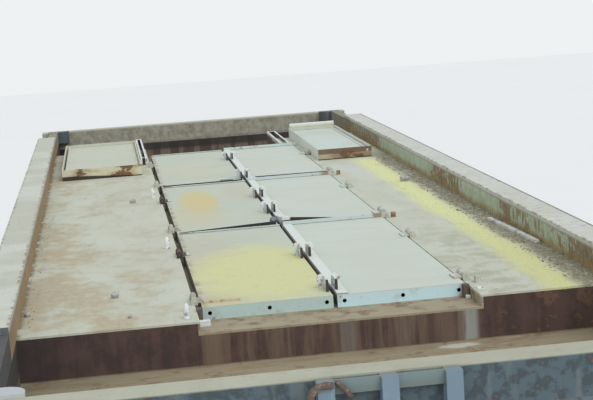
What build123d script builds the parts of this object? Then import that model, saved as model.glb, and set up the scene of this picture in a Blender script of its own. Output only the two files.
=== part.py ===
from build123d import *
import os
from math import atan2, cos, degrees, hypot, radians, sin, sqrt

# Covered two-axle hopper wagon. X is across, Y along the track, Z up.
# Z is zero under the wheel flanges, X and Y are zero at the middle of the body.

# Wheels and axles
wheelbase = 4880
tread_radius = 470
flange_height = 28
flange_width = 30
tyre_width = 135
tyre_depth = 68
back_to_back = 1360
wheel_web = 28
hub_radius = 125
hub_overlap = 22
wheel_seat_radius = 88
axle_radius = 78
journal_radius = 62
journal_end = 1068
journal_clearance = 0.08
axle_height = tread_radius + flange_height

# Underframe
solebar_x = 930
solebar_flange = 90
solebar_web = 12
solebar_low = 960
solebar_depth = 250
solebar_top = solebar_low + solebar_depth
headstock_inner_y = 3933
headstock_depth = 130
headstock_half = 1180
headstock_face = headstock_inner_y + headstock_depth
cross_low = 965
cross_depth = 180
cross_width = 100
cross_web = 12
buffer_height = 1085

# Body: side sheets, slopes and rims
inner_half = 1110
plate = 8
rim_top = 3600
rim_width = 129
rim_depth = 120
rim_wall = 10
rim_half_length = 3160
end_rail_width = 66
end_rail_drop = 24
end_rim_y = 3903
end_rim_width = 105
end_rim_drop = 40
end_rim_depth = 140
side_low = 2100
slope_half_x = 560
slope_low = 1180
slope_half_y = 1700
end_sheet_depth = 275
stake_depth = 80
stake_width = 60

# Roof deck and wells
deck_drop = 112
well_drop = 174
deck_half_length = 2863
channel_drop = 45
channel_left = -450
channel_right = 600
ledge_width = 100
pit_length = 502
pit_right = 504
pit_rail_length = 340

# Loading lids
seam_x = 82
lid_width = 500
lid_gap = 16
lid_front_margin = 193
lid_back_margin = 42
lid_flange = 50
lid_sheet = 6
lid_seat = 0.3
pin_radius = 6
barrel_radius = 11
pin_clearance = 0.06
hinge_offset = 24
hinge_rise = 16
cheek_radius = 13
cheek_width = 12
barrel_length = 80
hinge_shares = [0.08, 0.67]
seam_strip_width = 42

# Corner hatches
corner_hatch_margin = 3
corner_hatch_length = 1480
corner_frame_height = 70
corner_frame_wall = 8

# Outlets and bottom doors
mouth_z = 660
mouth_half_x = 450
outlet_near = 450
outlet_far = 1700
mouth_near = 620
mouth_far = 1440
ridge_z = 1750
frame_width = 60
frame_thickness = 10
door_thickness = 12
door_gap = 12
door_pin_radius = 8
door_barrel_radius = 14
door_ear_radius = 16
door_ear_width = 20

os.makedirs("parts", exist_ok=True)


def block(x, y, z):
    """Box between the low and the high value of each axis."""
    size = [high - low for low, high in (x, y, z)]
    centre = [(low + high) / 2 for low, high in (x, y, z)]
    return Pos(*centre) * Box(*size)


def span(centre, width):
    return (centre - width / 2, centre + width / 2)


def rod_x(x, y, z, radius):
    """Round bar along X between two X values."""
    return Pos((x[0] + x[1]) / 2, y, z) * Rot(0, 90, 0) * Cylinder(radius, x[1] - x[0])


def rod_y(x, y, z, radius):
    return Pos(x, (y[0] + y[1]) / 2, z) * Rot(90, 0, 0) * Cylinder(radius, y[1] - y[0])


def profile_x(points, x):
    """Outline of (y, z) points made thick between two X values."""
    face = make_face(Plane.YZ * Polyline(*points, close=True))
    return Pos(x[0], 0, 0) * extrude(face, amount=x[1] - x[0], dir=(1, 0, 0))


def profile_y(points, y):
    """Outline of (x, z) points made thick between two Y values."""
    face = make_face(Plane.XZ * Polyline(*points, close=True))
    return Pos(0, y[0], 0) * extrude(face, amount=y[1] - y[0], dir=(0, 1, 0))


def sloped_sheet(corners, thickness, outward):
    """Flat sheet with these inner corners, thick towards outward."""
    face = Face(Wire.make_polygon([Vector(*corner) for corner in corners]))
    normal = face.normal_at()
    if normal.dot(Vector(*outward)) < 0:
        normal = normal * -1
    return extrude(face, amount=thickness, dir=normal)


def other_side(shape):
    return mirror(shape, about=Plane.YZ)


def other_end(shape):
    return mirror(shape, about=Plane.XZ)


def both_sides(shapes):
    return shapes + [other_side(shape) for shape in shapes]


def both_ends(shapes):
    return shapes + [other_end(shape) for shape in shapes]


def save(name, shapes):
    solids = [solid for shape in shapes for solid in shape.solids()]
    node = Compound(children=solids)
    node.label = name
    export_step(node, os.path.join("parts", name + ".step"))


# Levels and places that follow from the driving sizes
deck_top = rim_top - deck_drop
deck_low = deck_top - plate
well_top = deck_top - well_drop
well_low = well_top - plate
ledge_top = deck_top - channel_drop
ledge_low = ledge_top - plate
side_top = rim_top - rim_depth
end_rim_top = rim_top - end_rim_drop
end_rim_low = end_rim_top - end_rim_depth
slope_top = end_rim_low - end_sheet_depth
end_slope_rise = (slope_top - slope_low) / (end_rim_y - slope_half_y)
side_slope_run = (inner_half - slope_half_x) / (side_low - slope_low)
lid_top = ledge_top + lid_seat + lid_flange
solebar_outer = solebar_x + solebar_flange
pit_near = deck_half_length - pit_length
lid_rows_start = -deck_half_length + lid_front_margin
lid_pitch = (pit_near - lid_back_margin - lid_rows_start) / 3
corner_hatch_far = deck_half_length - corner_hatch_margin
corner_hatch_near = corner_hatch_far - corner_hatch_length


def end_slope_y(z):
    """Y of the end slope's inner face at this height."""
    return slope_half_y + (z - slope_low) / end_slope_rise


def end_slope_z(y):
    return slope_low + (y - slope_half_y) * end_slope_rise


# Wheelsets: a shouldered axle and two flanged wheels, each turned about X
wheel_inner = back_to_back / 2
wheel_outer = wheel_inner + tyre_width
hub_inner = wheel_inner - hub_overlap
hub_outer = wheel_outer - hub_overlap
web_x = span((wheel_inner + wheel_outer) / 2 + 12, wheel_web)
tyre_inner_radius = tread_radius - tyre_depth
wheel_outline = [
    (hub_inner, wheel_seat_radius), (hub_inner, hub_radius), (web_x[0], hub_radius + 30),
    (web_x[0], tyre_inner_radius - 14), (wheel_inner, tyre_inner_radius),
    (wheel_inner, tread_radius + flange_height - 8), (wheel_inner + 8, tread_radius + flange_height),
    (wheel_inner + flange_width - 8, tread_radius + flange_height - 6),
    (wheel_inner + flange_width + 6, tread_radius + 2), (wheel_outer - 6, tread_radius - 4),
    (wheel_outer, tread_radius - 10), (wheel_outer, tyre_inner_radius),
    (web_x[1], tyre_inner_radius - 14), (web_x[1], hub_radius + 30), (hub_outer, hub_radius),
    (hub_outer, wheel_seat_radius),
]
axle_outline = [
    (0, 0), (0, axle_radius), (hub_inner - 8, axle_radius), (hub_inner, wheel_seat_radius),
    (hub_outer, wheel_seat_radius), (hub_outer + 8, journal_radius + 8),
    (hub_outer + 34, journal_radius + 8), (hub_outer + 44, journal_radius),
    (journal_end, journal_radius), (journal_end, 0),
]
wheel = revolve(make_face(Plane.XZ * Polyline(*wheel_outline, close=True)), axis=Axis.X)
half_axle = revolve(make_face(Plane.XZ * Polyline(*axle_outline, close=True)), axis=Axis.X)
axle = half_axle + other_side(half_axle)
axle_places = [("front", -wheelbase / 2), ("rear", wheelbase / 2)]
for end_name, axle_y in axle_places:
    place = Pos(0, axle_y, axle_height)
    save(end_name + "_axle", [place * axle])
    save(end_name + "_wheels", [place * shape for shape in both_sides([wheel])])

# Solebars: channels with their flanges outwards
solebar_outline = [
    (solebar_x, solebar_low), (solebar_outer, solebar_low), (solebar_outer, solebar_low + solebar_web),
    (solebar_x + solebar_web, solebar_low + solebar_web), (solebar_x + solebar_web, solebar_top - solebar_web),
    (solebar_outer, solebar_top - solebar_web), (solebar_outer, solebar_top), (solebar_x, solebar_top),
]
solebar = profile_y(solebar_outline, (-headstock_inner_y, headstock_inner_y))
save("solebars", both_sides([solebar]))

# Headstocks: channels that are open inwards
headstock_outline = [
    (headstock_inner_y, solebar_low), (headstock_face, solebar_low), (headstock_face, solebar_top),
    (headstock_inner_y, solebar_top), (headstock_inner_y, solebar_top - solebar_web),
    (headstock_face - solebar_web, solebar_top - solebar_web),
    (headstock_face - solebar_web, solebar_low + solebar_web),
    (headstock_inner_y, solebar_low + solebar_web),
]
headstock = profile_x(headstock_outline, (-headstock_half, headstock_half))
save("headstocks", both_ends([headstock]))

# Cross members: I beams between the solebars
cross_high = cross_low + cross_depth
cross_places = [0, 1850, 3035]


def cross_beam(y):
    low_flange = block(span(0, 2 * solebar_x), span(y, cross_width), (cross_low, cross_low + cross_web))
    top_flange = block(span(0, 2 * solebar_x), span(y, cross_width), (cross_high - cross_web, cross_high))
    web = block(span(0, 2 * solebar_x), span(y, cross_web), (cross_low, cross_high))
    return low_flange + web + top_flange


save("cross_members", [cross_beam(0)] + both_ends([cross_beam(y) for y in cross_places[1:]]))

# Draw beams: two bars from each end cross member's web to the headstock
draw_beam_x = 210
draw_beam_width = 16
draw_beam_y = (cross_places[2] + cross_web / 2, headstock_face - solebar_web)
draw_beam_z = (cross_low + cross_web, cross_high - cross_web)
draw_beam = block(span(draw_beam_x, draw_beam_width), draw_beam_y, draw_beam_z)
save("draw_beams", both_ends(both_sides([draw_beam])))

# Axle guards: plates with a horn slot and a tie under it, inside the solebar webs
guard_thickness = 20
guard_x = (solebar_x - guard_thickness, solebar_x)
horn_half = 135
horn_top = axle_height + 190
guard_low = axle_height - 190
guard_outline = [
    (-490, solebar_top - 30), (490, solebar_top - 30), (490, solebar_low - 40), (horn_half + 75, axle_height + 30),
    (horn_half + 50, guard_low), (horn_half, guard_low), (horn_half, horn_top), (-horn_half, horn_top),
    (-horn_half, guard_low), (-horn_half - 50, guard_low), (-horn_half - 75, axle_height + 30),
    (-490, solebar_low - 40),
]
guard = profile_x(guard_outline, guard_x)
guard_window = [(horn_half + 60, solebar_low - 30), (horn_half + 60, axle_height + 130),
                (horn_half + 250, solebar_low - 30)]
window = profile_x(guard_window, guard_x)
guard = guard - window - other_end(window)
tie_depth = 16
horn_tie = block((guard_x[0] - 6, guard_x[1] + 6), span(0, 2 * horn_half + 110),
                 (guard_low - tie_depth, guard_low))
guard = guard + horn_tie
save("axle_guards", [Pos(0, y, 0) * shape for name, y in axle_places for shape in both_sides([guard])])

# Axleboxes: bored for the journals, held between the horns
box_half = horn_half - 0.5
box_top = 140
box_inner_x = hub_outer + 58
box_face_x = journal_end + 14
box_outline = [(-box_half, -110), (-box_half, box_top), (box_half, box_top), (box_half, -110), (70, -140),
               (-70, -140)]
axlebox = profile_x(box_outline, (box_inner_x, box_face_x))
axlebox = axlebox - rod_x((0, journal_end + 1), 0, 0, journal_radius + journal_clearance)
axlebox = axlebox + rod_x((box_face_x, box_face_x + 22), 0, 0, 92)
axlebox = Pos(0, 0, axle_height) * axlebox
save("axleboxes", [Pos(0, y, 0) * shape for name, y in axle_places for shape in both_sides([axlebox])])

# Leaf springs: curved leaves in a buckle that rests on the axlebox
spring_x = span(solebar_x + solebar_web + 44, 75)
leaf_count = 6
leaf_thickness = 14
leaf_half_length = 520
leaf_step = 78
spring_camber = 96
leaf_radius = (leaf_half_length ** 2 + spring_camber ** 2) / (2 * spring_camber)
spring_end_top = solebar_low - 44
spring_centre_z = spring_end_top - spring_camber + leaf_radius


def spring_leaf(index):
    inner = leaf_radius + index * leaf_thickness
    outer = inner + leaf_thickness
    half = leaf_half_length - index * leaf_step
    centre = (0, spring_centre_z)
    low_angle = degrees(half / inner)
    outline = Line(
        (inner * sin(radians(low_angle)), spring_centre_z - inner * cos(radians(low_angle))),
        (outer * sin(radians(low_angle)), spring_centre_z - outer * cos(radians(low_angle))),
    )
    under = ThreePointArc(outline @ 1, (0, spring_centre_z - outer), (-(outline @ 1).X, (outline @ 1).Y))
    side = Line(under @ 1, (-(outline @ 0).X, (outline @ 0).Y))
    upper = ThreePointArc(side @ 1, (0, spring_centre_z - inner), outline @ 0)
    face = Plane.YZ * make_face([outline, under, side, upper])
    return Pos(spring_x[0], 0, 0) * extrude(face, amount=spring_x[1] - spring_x[0], dir=(1, 0, 0))


spring = spring_leaf(0)
for index in range(1, leaf_count):
    spring = spring + spring_leaf(index)
buckle_z = (axle_height + box_top, spring_end_top - spring_camber + 18)
spring = spring + block((spring_x[0] - 14, spring_x[1] + 14), span(0, 96), buckle_z)
save("leaf_springs", [Pos(0, y, 0) * shape for name, y in axle_places for shape in both_sides([spring])])

# Spring shoes: blocks under the solebar that the spring's ends bear on
shoe_length = 44
shoe_y = (leaf_half_length - 8 - shoe_length, leaf_half_length - 8)
shoe_z_low = spring_centre_z - sqrt(leaf_radius ** 2 - shoe_y[1] ** 2)
shoe = block((spring_x[0] - 8, spring_x[1] + 8), shoe_y, (shoe_z_low, solebar_low))
shoes = both_ends([shoe])
save("spring_shoes", [Pos(0, y, 0) * s for name, y in axle_places for s in both_sides(shoes)])

# Side sheets: outline follows the end slopes
lap = 12
sheet_outline = [
    (-end_rim_y, side_top), (end_rim_y, side_top), (end_rim_y, end_slope_z(end_rim_y) - lap),
    (end_slope_y(side_low), side_low), (-end_slope_y(side_low), side_low),
    (-end_rim_y, end_slope_z(end_rim_y) - lap),
]
side_sheet = profile_x(sheet_outline, (inner_half, inner_half + plate))
save("side_sheets", both_sides([side_sheet]))

# Side slopes: trapezoid sheets that lean in to the outlets
side_slope = sloped_sheet(
    [(inner_half, -end_slope_y(side_low), side_low), (inner_half, end_slope_y(side_low), side_low),
     (slope_half_x, slope_half_y, slope_low), (slope_half_x, -slope_half_y, slope_low)],
    plate, (1, 0, -1))
save("side_slopes", both_sides([side_slope]))

# End slopes: narrow below the side sheets
end_slope = sloped_sheet(
    [(-slope_half_x, slope_half_y, slope_low), (slope_half_x, slope_half_y, slope_low),
     (inner_half, end_slope_y(side_low), side_low), (inner_half, end_rim_y, slope_top),
     (-inner_half, end_rim_y, slope_top), (-inner_half, end_slope_y(side_low), side_low)],
    plate, (0, 1, -1))
save("end_slopes", both_ends([end_slope]))

# End sheets close the body above the slopes
end_sheet = block((-inner_half, inner_half), (end_rim_y, end_rim_y + plate), (slope_top, end_rim_low))
save("end_sheets", both_ends([end_sheet]))

# Ridge between the outlets: a folded sheet across the hopper
ridge_thick_z = plate / cos(atan2(ridge_z - slope_low, outlet_near))
ridge_low_half = slope_half_x
ridge_high_half = slope_half_x + (ridge_z - slope_low) * side_slope_run
ridge = profile_x(
    [(-outlet_near, slope_low), (0, ridge_z), (outlet_near, slope_low),
     (outlet_near - plate * 0.8, slope_low), (0, ridge_z - ridge_thick_z), (-outlet_near + plate * 0.8, slope_low)],
    (-inner_half, inner_half))
ridge_room = profile_y(
    [(-ridge_low_half, slope_low), (ridge_low_half, slope_low), (ridge_high_half, ridge_z),
     (-ridge_high_half, ridge_z)],
    (-outlet_near, outlet_near))
save("hopper_ridge", [ridge & ridge_room])

# Outlet chutes: four sheets that narrow to each mouth


def funnel(wall):
    """Space inside an outlet, widened by wall on every side."""
    top = Pos(0, (outlet_near + outlet_far) / 2, slope_low) * Rectangle(
        2 * (slope_half_x + wall), outlet_far - outlet_near + 2 * wall)
    mouth = Pos(0, (mouth_near + mouth_far) / 2, mouth_z) * Rectangle(
        2 * (mouth_half_x + wall), mouth_far - mouth_near + 2 * wall)
    return loft([mouth, top])


chute = funnel(plate) - funnel(0) - end_slope - side_slope - other_side(side_slope)
save("outlet_chutes", both_ends([chute]))

# Outlet frames: a flat ring round each mouth with ears for the door pins
frame_top = mouth_z
frame_low = frame_top - frame_thickness
frame_y = (mouth_near - frame_width, mouth_far + frame_width)
frame_half_x = mouth_half_x + frame_width
door_axis_z = frame_low + frame_thickness / 2
door_axis_y = (frame_y[0] - door_ear_radius, frame_y[1] + door_ear_radius)
door_hinge_places = [-300, 300]
outlet_frame = block((-frame_half_x, frame_half_x), frame_y, (frame_low, frame_top))
outlet_frame = outlet_frame - block((-mouth_half_x, mouth_half_x), (mouth_near, mouth_far),
                                    (frame_low - 1, frame_top + 1))
for axis_y, frame_edge, into in [(door_axis_y[0], frame_y[0], 1), (door_axis_y[1], frame_y[1], -1)]:
    for x in door_hinge_places:
        ear_x = span(x, door_ear_width)
        root = sorted((axis_y, frame_edge + into * 6))
        outlet_frame = outlet_frame + block(ear_x, root, (frame_low, frame_top))
        outlet_frame = outlet_frame + rod_x(ear_x, axis_y, door_axis_z, door_ear_radius)
        outlet_frame = outlet_frame - rod_x(ear_x, axis_y, door_axis_z, door_pin_radius + pin_clearance)
save("outlet_frames", both_ends([outlet_frame]))

# Bottom doors: a plate with two knuckle pairs and pins each
door_top = frame_low - lid_seat
door_mid = (mouth_near + mouth_far) / 2
door_edge_room = 26
knuckle_length = 34
knuckle_gap = 1


def bottom_door(axis_y, into):
    """Door hinged at axis_y that reaches to the middle of the outlet, in the direction into."""
    plate_y = sorted((axis_y + into * door_edge_room, door_mid - into * door_gap / 2))
    door = block((-frame_half_x + 20, frame_half_x - 20), plate_y, (door_top - door_thickness, door_top))
    for x in door_hinge_places:
        for side in (-1, 1):
            inner = x + side * (door_ear_width / 2 + knuckle_gap)
            knuckle_x = sorted((inner, inner + side * knuckle_length))
            door = door + rod_x(knuckle_x, axis_y, door_axis_z, door_barrel_radius)
            strap_y = sorted((axis_y, axis_y + into * (door_edge_room + 80)))
            strap_z = (door_axis_z - door_barrel_radius - 2, door_top - 5)
            door = door + block(knuckle_x, strap_y, strap_z)
        pin_x = span(x, door_ear_width + 2 * knuckle_gap + 2 * knuckle_length)
        door = door + rod_x(pin_x, axis_y, door_axis_z, door_pin_radius)
    return door


outer_door = bottom_door(door_axis_y[1], -1)
inner_door = bottom_door(door_axis_y[0], 1)
save("front_outer_door", [other_end(outer_door)])
save("front_inner_door", [other_end(inner_door)])
save("rear_inner_door", [inner_door])
save("rear_outer_door", [outer_door])

# Side rims: wide folded channels along the top of each side
rim_outline = [
    (inner_half, side_top), (inner_half, rim_top), (inner_half + rim_width, rim_top),
    (inner_half + rim_width, side_top), (inner_half + rim_width - rim_wall, side_top),
    (inner_half + rim_width - rim_wall, rim_top - rim_wall), (inner_half + rim_wall, rim_top - rim_wall),
    (inner_half + rim_wall, side_top),
]
side_rim = profile_y(rim_outline, (-rim_half_length, rim_half_length))
save("side_rims", both_sides([side_rim]))

# Rim rails: narrower rails from the rims' ends to the corner blocks
corner_block_y = (end_rim_y - 90, end_rim_y)
rim_rail = block((inner_half, inner_half + end_rail_width), (rim_half_length, corner_block_y[0]),
                 (side_top, rim_top - end_rail_drop))
save("rim_rails", both_ends(both_sides([rim_rail])))

# End rims: channels across the ends, and blocks in their corners on the side sheets
end_rim_outer = end_rim_y + end_rim_width
end_rim_outline = [
    (end_rim_y, end_rim_low), (end_rim_y, end_rim_top), (end_rim_outer, end_rim_top),
    (end_rim_outer, end_rim_low), (end_rim_outer - rim_wall, end_rim_low),
    (end_rim_outer - rim_wall, end_rim_top - rim_wall), (end_rim_y + rim_wall, end_rim_top - rim_wall),
    (end_rim_y + rim_wall, end_rim_low),
]
end_rim = profile_x(end_rim_outline, (-inner_half - rim_width, inner_half + rim_width))
save("end_rims", both_ends([end_rim]))
corner_block_x = (inner_half - 85, inner_half + 75)
corner_block = block(corner_block_x, corner_block_y, (side_top, end_rim_top + 10))
corner_edge = corner_block.edges().filter_by(Axis.Z).group_by(Axis.X)[0].sort_by(Axis.Y)[0]
corner_block = fillet(corner_edge, 60)
save("corner_blocks", both_ends(both_sides([corner_block])))

# Front well: a floor at the end, and a drop face with a notch for the hatch channel
well_floor = block((-inner_half, inner_half), (deck_half_length, end_rim_y), (well_low, well_top))
drop_outline = [
    (-inner_half, well_low), (inner_half, well_low), (inner_half, deck_low), (channel_right + plate, deck_low),
    (channel_right + plate, ledge_low), (channel_left - plate, ledge_low), (channel_left - plate, deck_low),
    (-inner_half, deck_low),
]
drop_y = (deck_half_length - plate, deck_half_length)
front_well = other_end(well_floor + profile_y(drop_outline, drop_y))

# Rear well: its floor runs on in a pit between the decks, as far as the hatch channel
pit_x = (channel_left - plate, pit_right + plate)
rear_well = well_floor + block(pit_x, (pit_near, deck_half_length), (well_low, well_top))
rear_well = rear_well + block((-inner_half, pit_x[0]), drop_y, (well_low, deck_low))
rear_well = rear_well + block((pit_x[1], inner_half), drop_y, (well_low, deck_low))
pit_face = [
    (pit_x[0], well_low), (channel_right + plate, well_low), (channel_right + plate, deck_low),
    (pit_right, deck_low), (pit_right, ledge_top), (pit_x[0], ledge_top),
]
rear_well = rear_well + profile_y(pit_face, (pit_near, pit_near + plate))
cheek_far = deck_half_length + pit_rail_length
pit_cheek = [
    (pit_near, well_low), (cheek_far, well_low), (cheek_far, deck_top), (deck_half_length, deck_top),
    (deck_half_length, deck_low), (pit_near, deck_low),
]
for cheek_x in ((pit_x[0], channel_left), (pit_right, pit_x[1])):
    rear_well = rear_well + profile_x(pit_cheek, cheek_x)
save("end_wells", [front_well, rear_well])

# Roof deck: a left and a right margin, each with a corner hatchway
left_hatch_room = 80
right_hatch_room = 120
corner_hatches = [
    # side, frame x low, frame x high, hinge side
    ("left", -inner_half + left_hatch_room, channel_left - 70, -1),
    ("right", channel_right + 34, inner_half - right_hatch_room, 1),
]
hatch_margin = 45
corner_frame_y = (corner_hatch_near, corner_hatch_far)
cover_room = 8
cover_thickness = 6
cover_level = deck_top + 44
cover_pin_radius = 7
cover_barrel_radius = 12
cover_hinge_room = 20
cover_lip = (26, 8)
tube_radius = 22
tube_rise = 10


def cover_axis_x(frame_low_x, frame_high_x, hinge_side):
    """X of the hinge of a corner cover, just inside the frame's outer wall."""
    outer_x = frame_low_x if hinge_side < 0 else frame_high_x
    return outer_x - hinge_side * (corner_frame_wall + cover_hinge_room)


# Keepers: small blocks on the right deck in line with the lids' edge bars
rows = [(lid_rows_start + row * lid_pitch, lid_rows_start + (row + 1) * lid_pitch) for row in range(3)]
keeper_x = (channel_right + 34, channel_right + 54)
keeper_length = 26
keeper_height = 26
keeper_places = [rows[0][0] + keeper_length] + [high - keeper_length / 2 for low, high in rows]
keeper_places = [y for y in keeper_places if y < corner_hatch_near or y > pit_near]
deck_sides = {"left": (-inner_half, channel_left), "right": (channel_right, inner_half)}
corner_frames = []
for side, frame_low_x, frame_high_x, hinge_side in corner_hatches:
    deck = block(deck_sides[side], (-deck_half_length, deck_half_length), (deck_low, deck_top))
    if side == "right":
        deck = deck + block((pit_right, channel_right), (pit_near, deck_half_length), (deck_low, deck_top))
        for y in keeper_places:
            deck = deck + block(keeper_x, span(y, keeper_length), (deck_top, deck_top + keeper_height))
    hatchway = block((frame_low_x + hatch_margin, frame_high_x - hatch_margin),
                     (corner_hatch_near + hatch_margin, corner_hatch_far - hatch_margin),
                     (deck_low - 1, deck_top + 1))
    save("deck_" + side, [deck - hatchway])
    outside = block((frame_low_x, frame_high_x), corner_frame_y, (deck_top, deck_top + corner_frame_height))
    inside = block((frame_low_x + corner_frame_wall, frame_high_x - corner_frame_wall),
                   (corner_hatch_near + corner_frame_wall, corner_hatch_far - corner_frame_wall),
                   (deck_top - 1, deck_top + corner_frame_height + 1))
    inner_x = frame_high_x if hinge_side < 0 else frame_low_x
    lip_x = sorted((inner_x, inner_x + hinge_side * (corner_frame_wall + cover_lip[0])))
    lip_z = (cover_level - lid_seat - cover_lip[1], cover_level - lid_seat)
    frame = outside - inside + block(lip_x, corner_frame_y, lip_z)
    axis_x = cover_axis_x(frame_low_x, frame_high_x, hinge_side)
    bore_y = (corner_hatch_near - 1, corner_hatch_far + 1)
    frame = frame - rod_y(axis_x, bore_y, cover_level + cover_thickness / 2, cover_pin_radius + pin_clearance)
    if side == "right":
        tube_x = (frame_low_x + 10, frame_high_x - 10)
        tube_y = corner_hatch_far - corner_frame_wall / 2 + tube_radius
        frame = frame + rod_x(tube_x, tube_y, deck_top + corner_frame_height + tube_rise, tube_radius)
    corner_frames.append(frame)
save("corner_hatch_frames", corner_frames)

# Hatch channel: a sunk plate with six hatchways and a web along each side
channel_y = (-deck_half_length, pit_near)
ledge = block((channel_left, channel_right), channel_y, (ledge_low, ledge_top))
seam_ledge = 50
hatchway_columns = [(channel_left + ledge_width, seam_x - seam_ledge - 8),
                    (seam_x + seam_ledge + 8, channel_right - ledge_width)]
for row_low, row_high in rows:
    for column in hatchway_columns:
        ledge = ledge - block(column, (row_low + seam_ledge, row_high - seam_ledge), (ledge_low - 1, ledge_top + 1))
for web_x in ((channel_left - plate, channel_left), (channel_right, channel_right + plate)):
    ledge = ledge + block(web_x, channel_y, (ledge_low, deck_low))
save("hatch_channel", [ledge])
seams = [rows[1][0], rows[2][0]]
roof_beam_depth = 90
roof_beam_width = 70
roof_beam_z = (ledge_low - roof_beam_depth, ledge_low)
roof_beams = block(span(seam_x, roof_beam_width), (-deck_half_length + plate, pit_near), roof_beam_z)
for y in seams:
    roof_beams = roof_beams + block((-inner_half, inner_half), span(y, roof_beam_width), roof_beam_z)
save("roof_beams", [roof_beams])

# Loading lids: folded pans with knuckles, pins and latch lugs
lug_height = 50
lug_length = 60
lug_thickness = 8
lug_inset = 6
lug_hole = 9
leaf_thick = 6
leaf_reach = 46
hinge_z = deck_top + hinge_rise
edge_bar_width = 14
edge_bar_overhang = 4
corner_lift = 40
corner_fold = 340
flange_hole_radius = 8
flange_hole_shares = [0.055, 0.51, 0.95]
columns = [
    # name, hinge side, free edge x, height of the bar along the far edge
    ("left", -1, seam_x - lid_gap / 2, 8),
    ("right", 1, seam_x + lid_gap / 2, 20),
]
row_table = [
    # name, places of the two latch lugs as shares of the lid's length
    ("near", (0.07, 0.5)),
    ("middle", (0.26, 0.6)),
    ("far", (0.09, 0.68)),
]
bent_corners = ["lid_middle_right"]


def hinge_centres(row):
    """Y of the two hinge centres of a row."""
    low, high = row
    return [low + share * (high - low) for share in hinge_shares]


def hinge_x(hinge_side, free_x):
    return free_x + hinge_side * (lid_width + hinge_offset)


def solid_from_corners(corners, faces):
    """Solid with flat faces, each a tuple of corner numbers."""
    polygons = [Face(Wire.make_polygon([Vector(*corners[number]) for number in face])) for face in faces]
    return Solid(Shell(polygons))


def bent_corner(free_x, hinge_edge, low):
    """Free near corner of a lid, bent up along a fold."""
    corners = [(free_x, low, lid_top - lid_sheet / 2), (hinge_edge, low, lid_top - lid_sheet / 2),
               (free_x, low + corner_fold, lid_top - lid_sheet / 2), (free_x, low, lid_top + corner_lift)]
    return solid_from_corners(corners, [(0, 1, 2), (0, 1, 3), (1, 2, 3), (0, 2, 3)])


def loading_lid(name, hinge_side, free_x, bar_height, row, lug_shares):
    low, high = row[0] + lid_gap / 2, row[1] - lid_gap / 2
    hinge_edge = free_x + hinge_side * lid_width
    x = sorted((free_x, hinge_edge))
    lid = block(x, (low, high), (lid_top - lid_flange, lid_top))
    lid = lid - block((x[0] + lid_sheet, x[1] - lid_sheet), (low + lid_sheet, high - lid_sheet),
                      (lid_top - lid_flange - 1, lid_top - lid_sheet))
    axis_x = hinge_x(hinge_side, free_x)
    for centre in hinge_centres(row):
        leaf_x = sorted((axis_x, axis_x - hinge_side * leaf_reach))
        lid = lid + block(leaf_x, span(centre, barrel_length), (lid_top, lid_top + leaf_thick))
        lid = lid + rod_y(axis_x, span(centre, barrel_length), hinge_z, barrel_radius)
        lid = lid + rod_y(axis_x, span(centre, barrel_length + 2 * cheek_width + 4), hinge_z, pin_radius)
    for share in lug_shares:
        lug_y = low + share * (high - low)
        lug_x = sorted((free_x + hinge_side * lug_inset, free_x + hinge_side * (lug_inset + lug_thickness)))
        lug = block(lug_x, span(lug_y, lug_length), (lid_top, lid_top + lug_height))
        lid = lid + lug - rod_x((lug_x[0] - 1, lug_x[1] + 1), lug_y, lid_top + lug_height * 0.6, lug_hole)
    bar_end = axis_x + hinge_side * edge_bar_overhang if hinge_side > 0 else hinge_edge
    lid = lid + block(sorted((free_x, bar_end)), (high - edge_bar_width, high), (lid_top, lid_top + bar_height))
    if hinge_side > 0:
        strip_x = (free_x, free_x + seam_strip_width)
        lid = lid + block(strip_x, (low, high), (lid_top, lid_top + leaf_thick))
    for share in flange_hole_shares:
        hole_x = x[0] + share * lid_width
        lid = lid - rod_y(hole_x, (low - 1, low + lid_sheet + 1), lid_top - lid_flange / 2, flange_hole_radius)
    if name in bent_corners:
        lid = lid + bent_corner(free_x, hinge_edge, low)
    return lid


brackets = []
for column_name, hinge_side, free_x, bar_height in columns:
    axis_x = hinge_x(hinge_side, free_x)
    for (row_name, lug_shares), row in zip(row_table, rows):
        name = "lid_" + row_name + "_" + column_name
        save(name, [loading_lid(name, hinge_side, free_x, bar_height, row, lug_shares)])
        for centre in hinge_centres(row):
            reach = barrel_length / 2 + 1 + cheek_width
            for side in (-1, 1):
                cheek_y = sorted((centre + side * (reach - cheek_width), centre + side * reach))
                bracket = block(span(axis_x, 2 * cheek_radius), cheek_y, (deck_top, hinge_z))
                bracket = bracket + rod_y(axis_x, cheek_y, hinge_z, cheek_radius)
                bore_y = span(centre, 2 * reach + 2)
                brackets.append(bracket - rod_y(axis_x, bore_y, hinge_z, pin_radius + pin_clearance))
save("hinge_brackets", brackets)

# Corner hatch covers: plates inside the frames, hinged on their outer side
for side, frame_low_x, frame_high_x, hinge_side in corner_hatches:
    inner_x = frame_high_x if hinge_side < 0 else frame_low_x
    axis_x = cover_axis_x(frame_low_x, frame_high_x, hinge_side)
    cover_x = sorted((axis_x, inner_x + hinge_side * (corner_frame_wall + cover_room)))
    ends = (corner_hatch_near + corner_frame_wall, corner_hatch_far - corner_frame_wall)
    cover_y = (ends[0] + cover_room, ends[1] - cover_room)
    cover = block(cover_x, cover_y, (cover_level, cover_level + cover_thickness))
    cover = cover + rod_y(axis_x, cover_y, cover_level + cover_thickness / 2, cover_barrel_radius)
    cover = cover + rod_y(axis_x, corner_frame_y, cover_level + cover_thickness / 2, cover_pin_radius)
    save("corner_cover_" + side, [cover])

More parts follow.
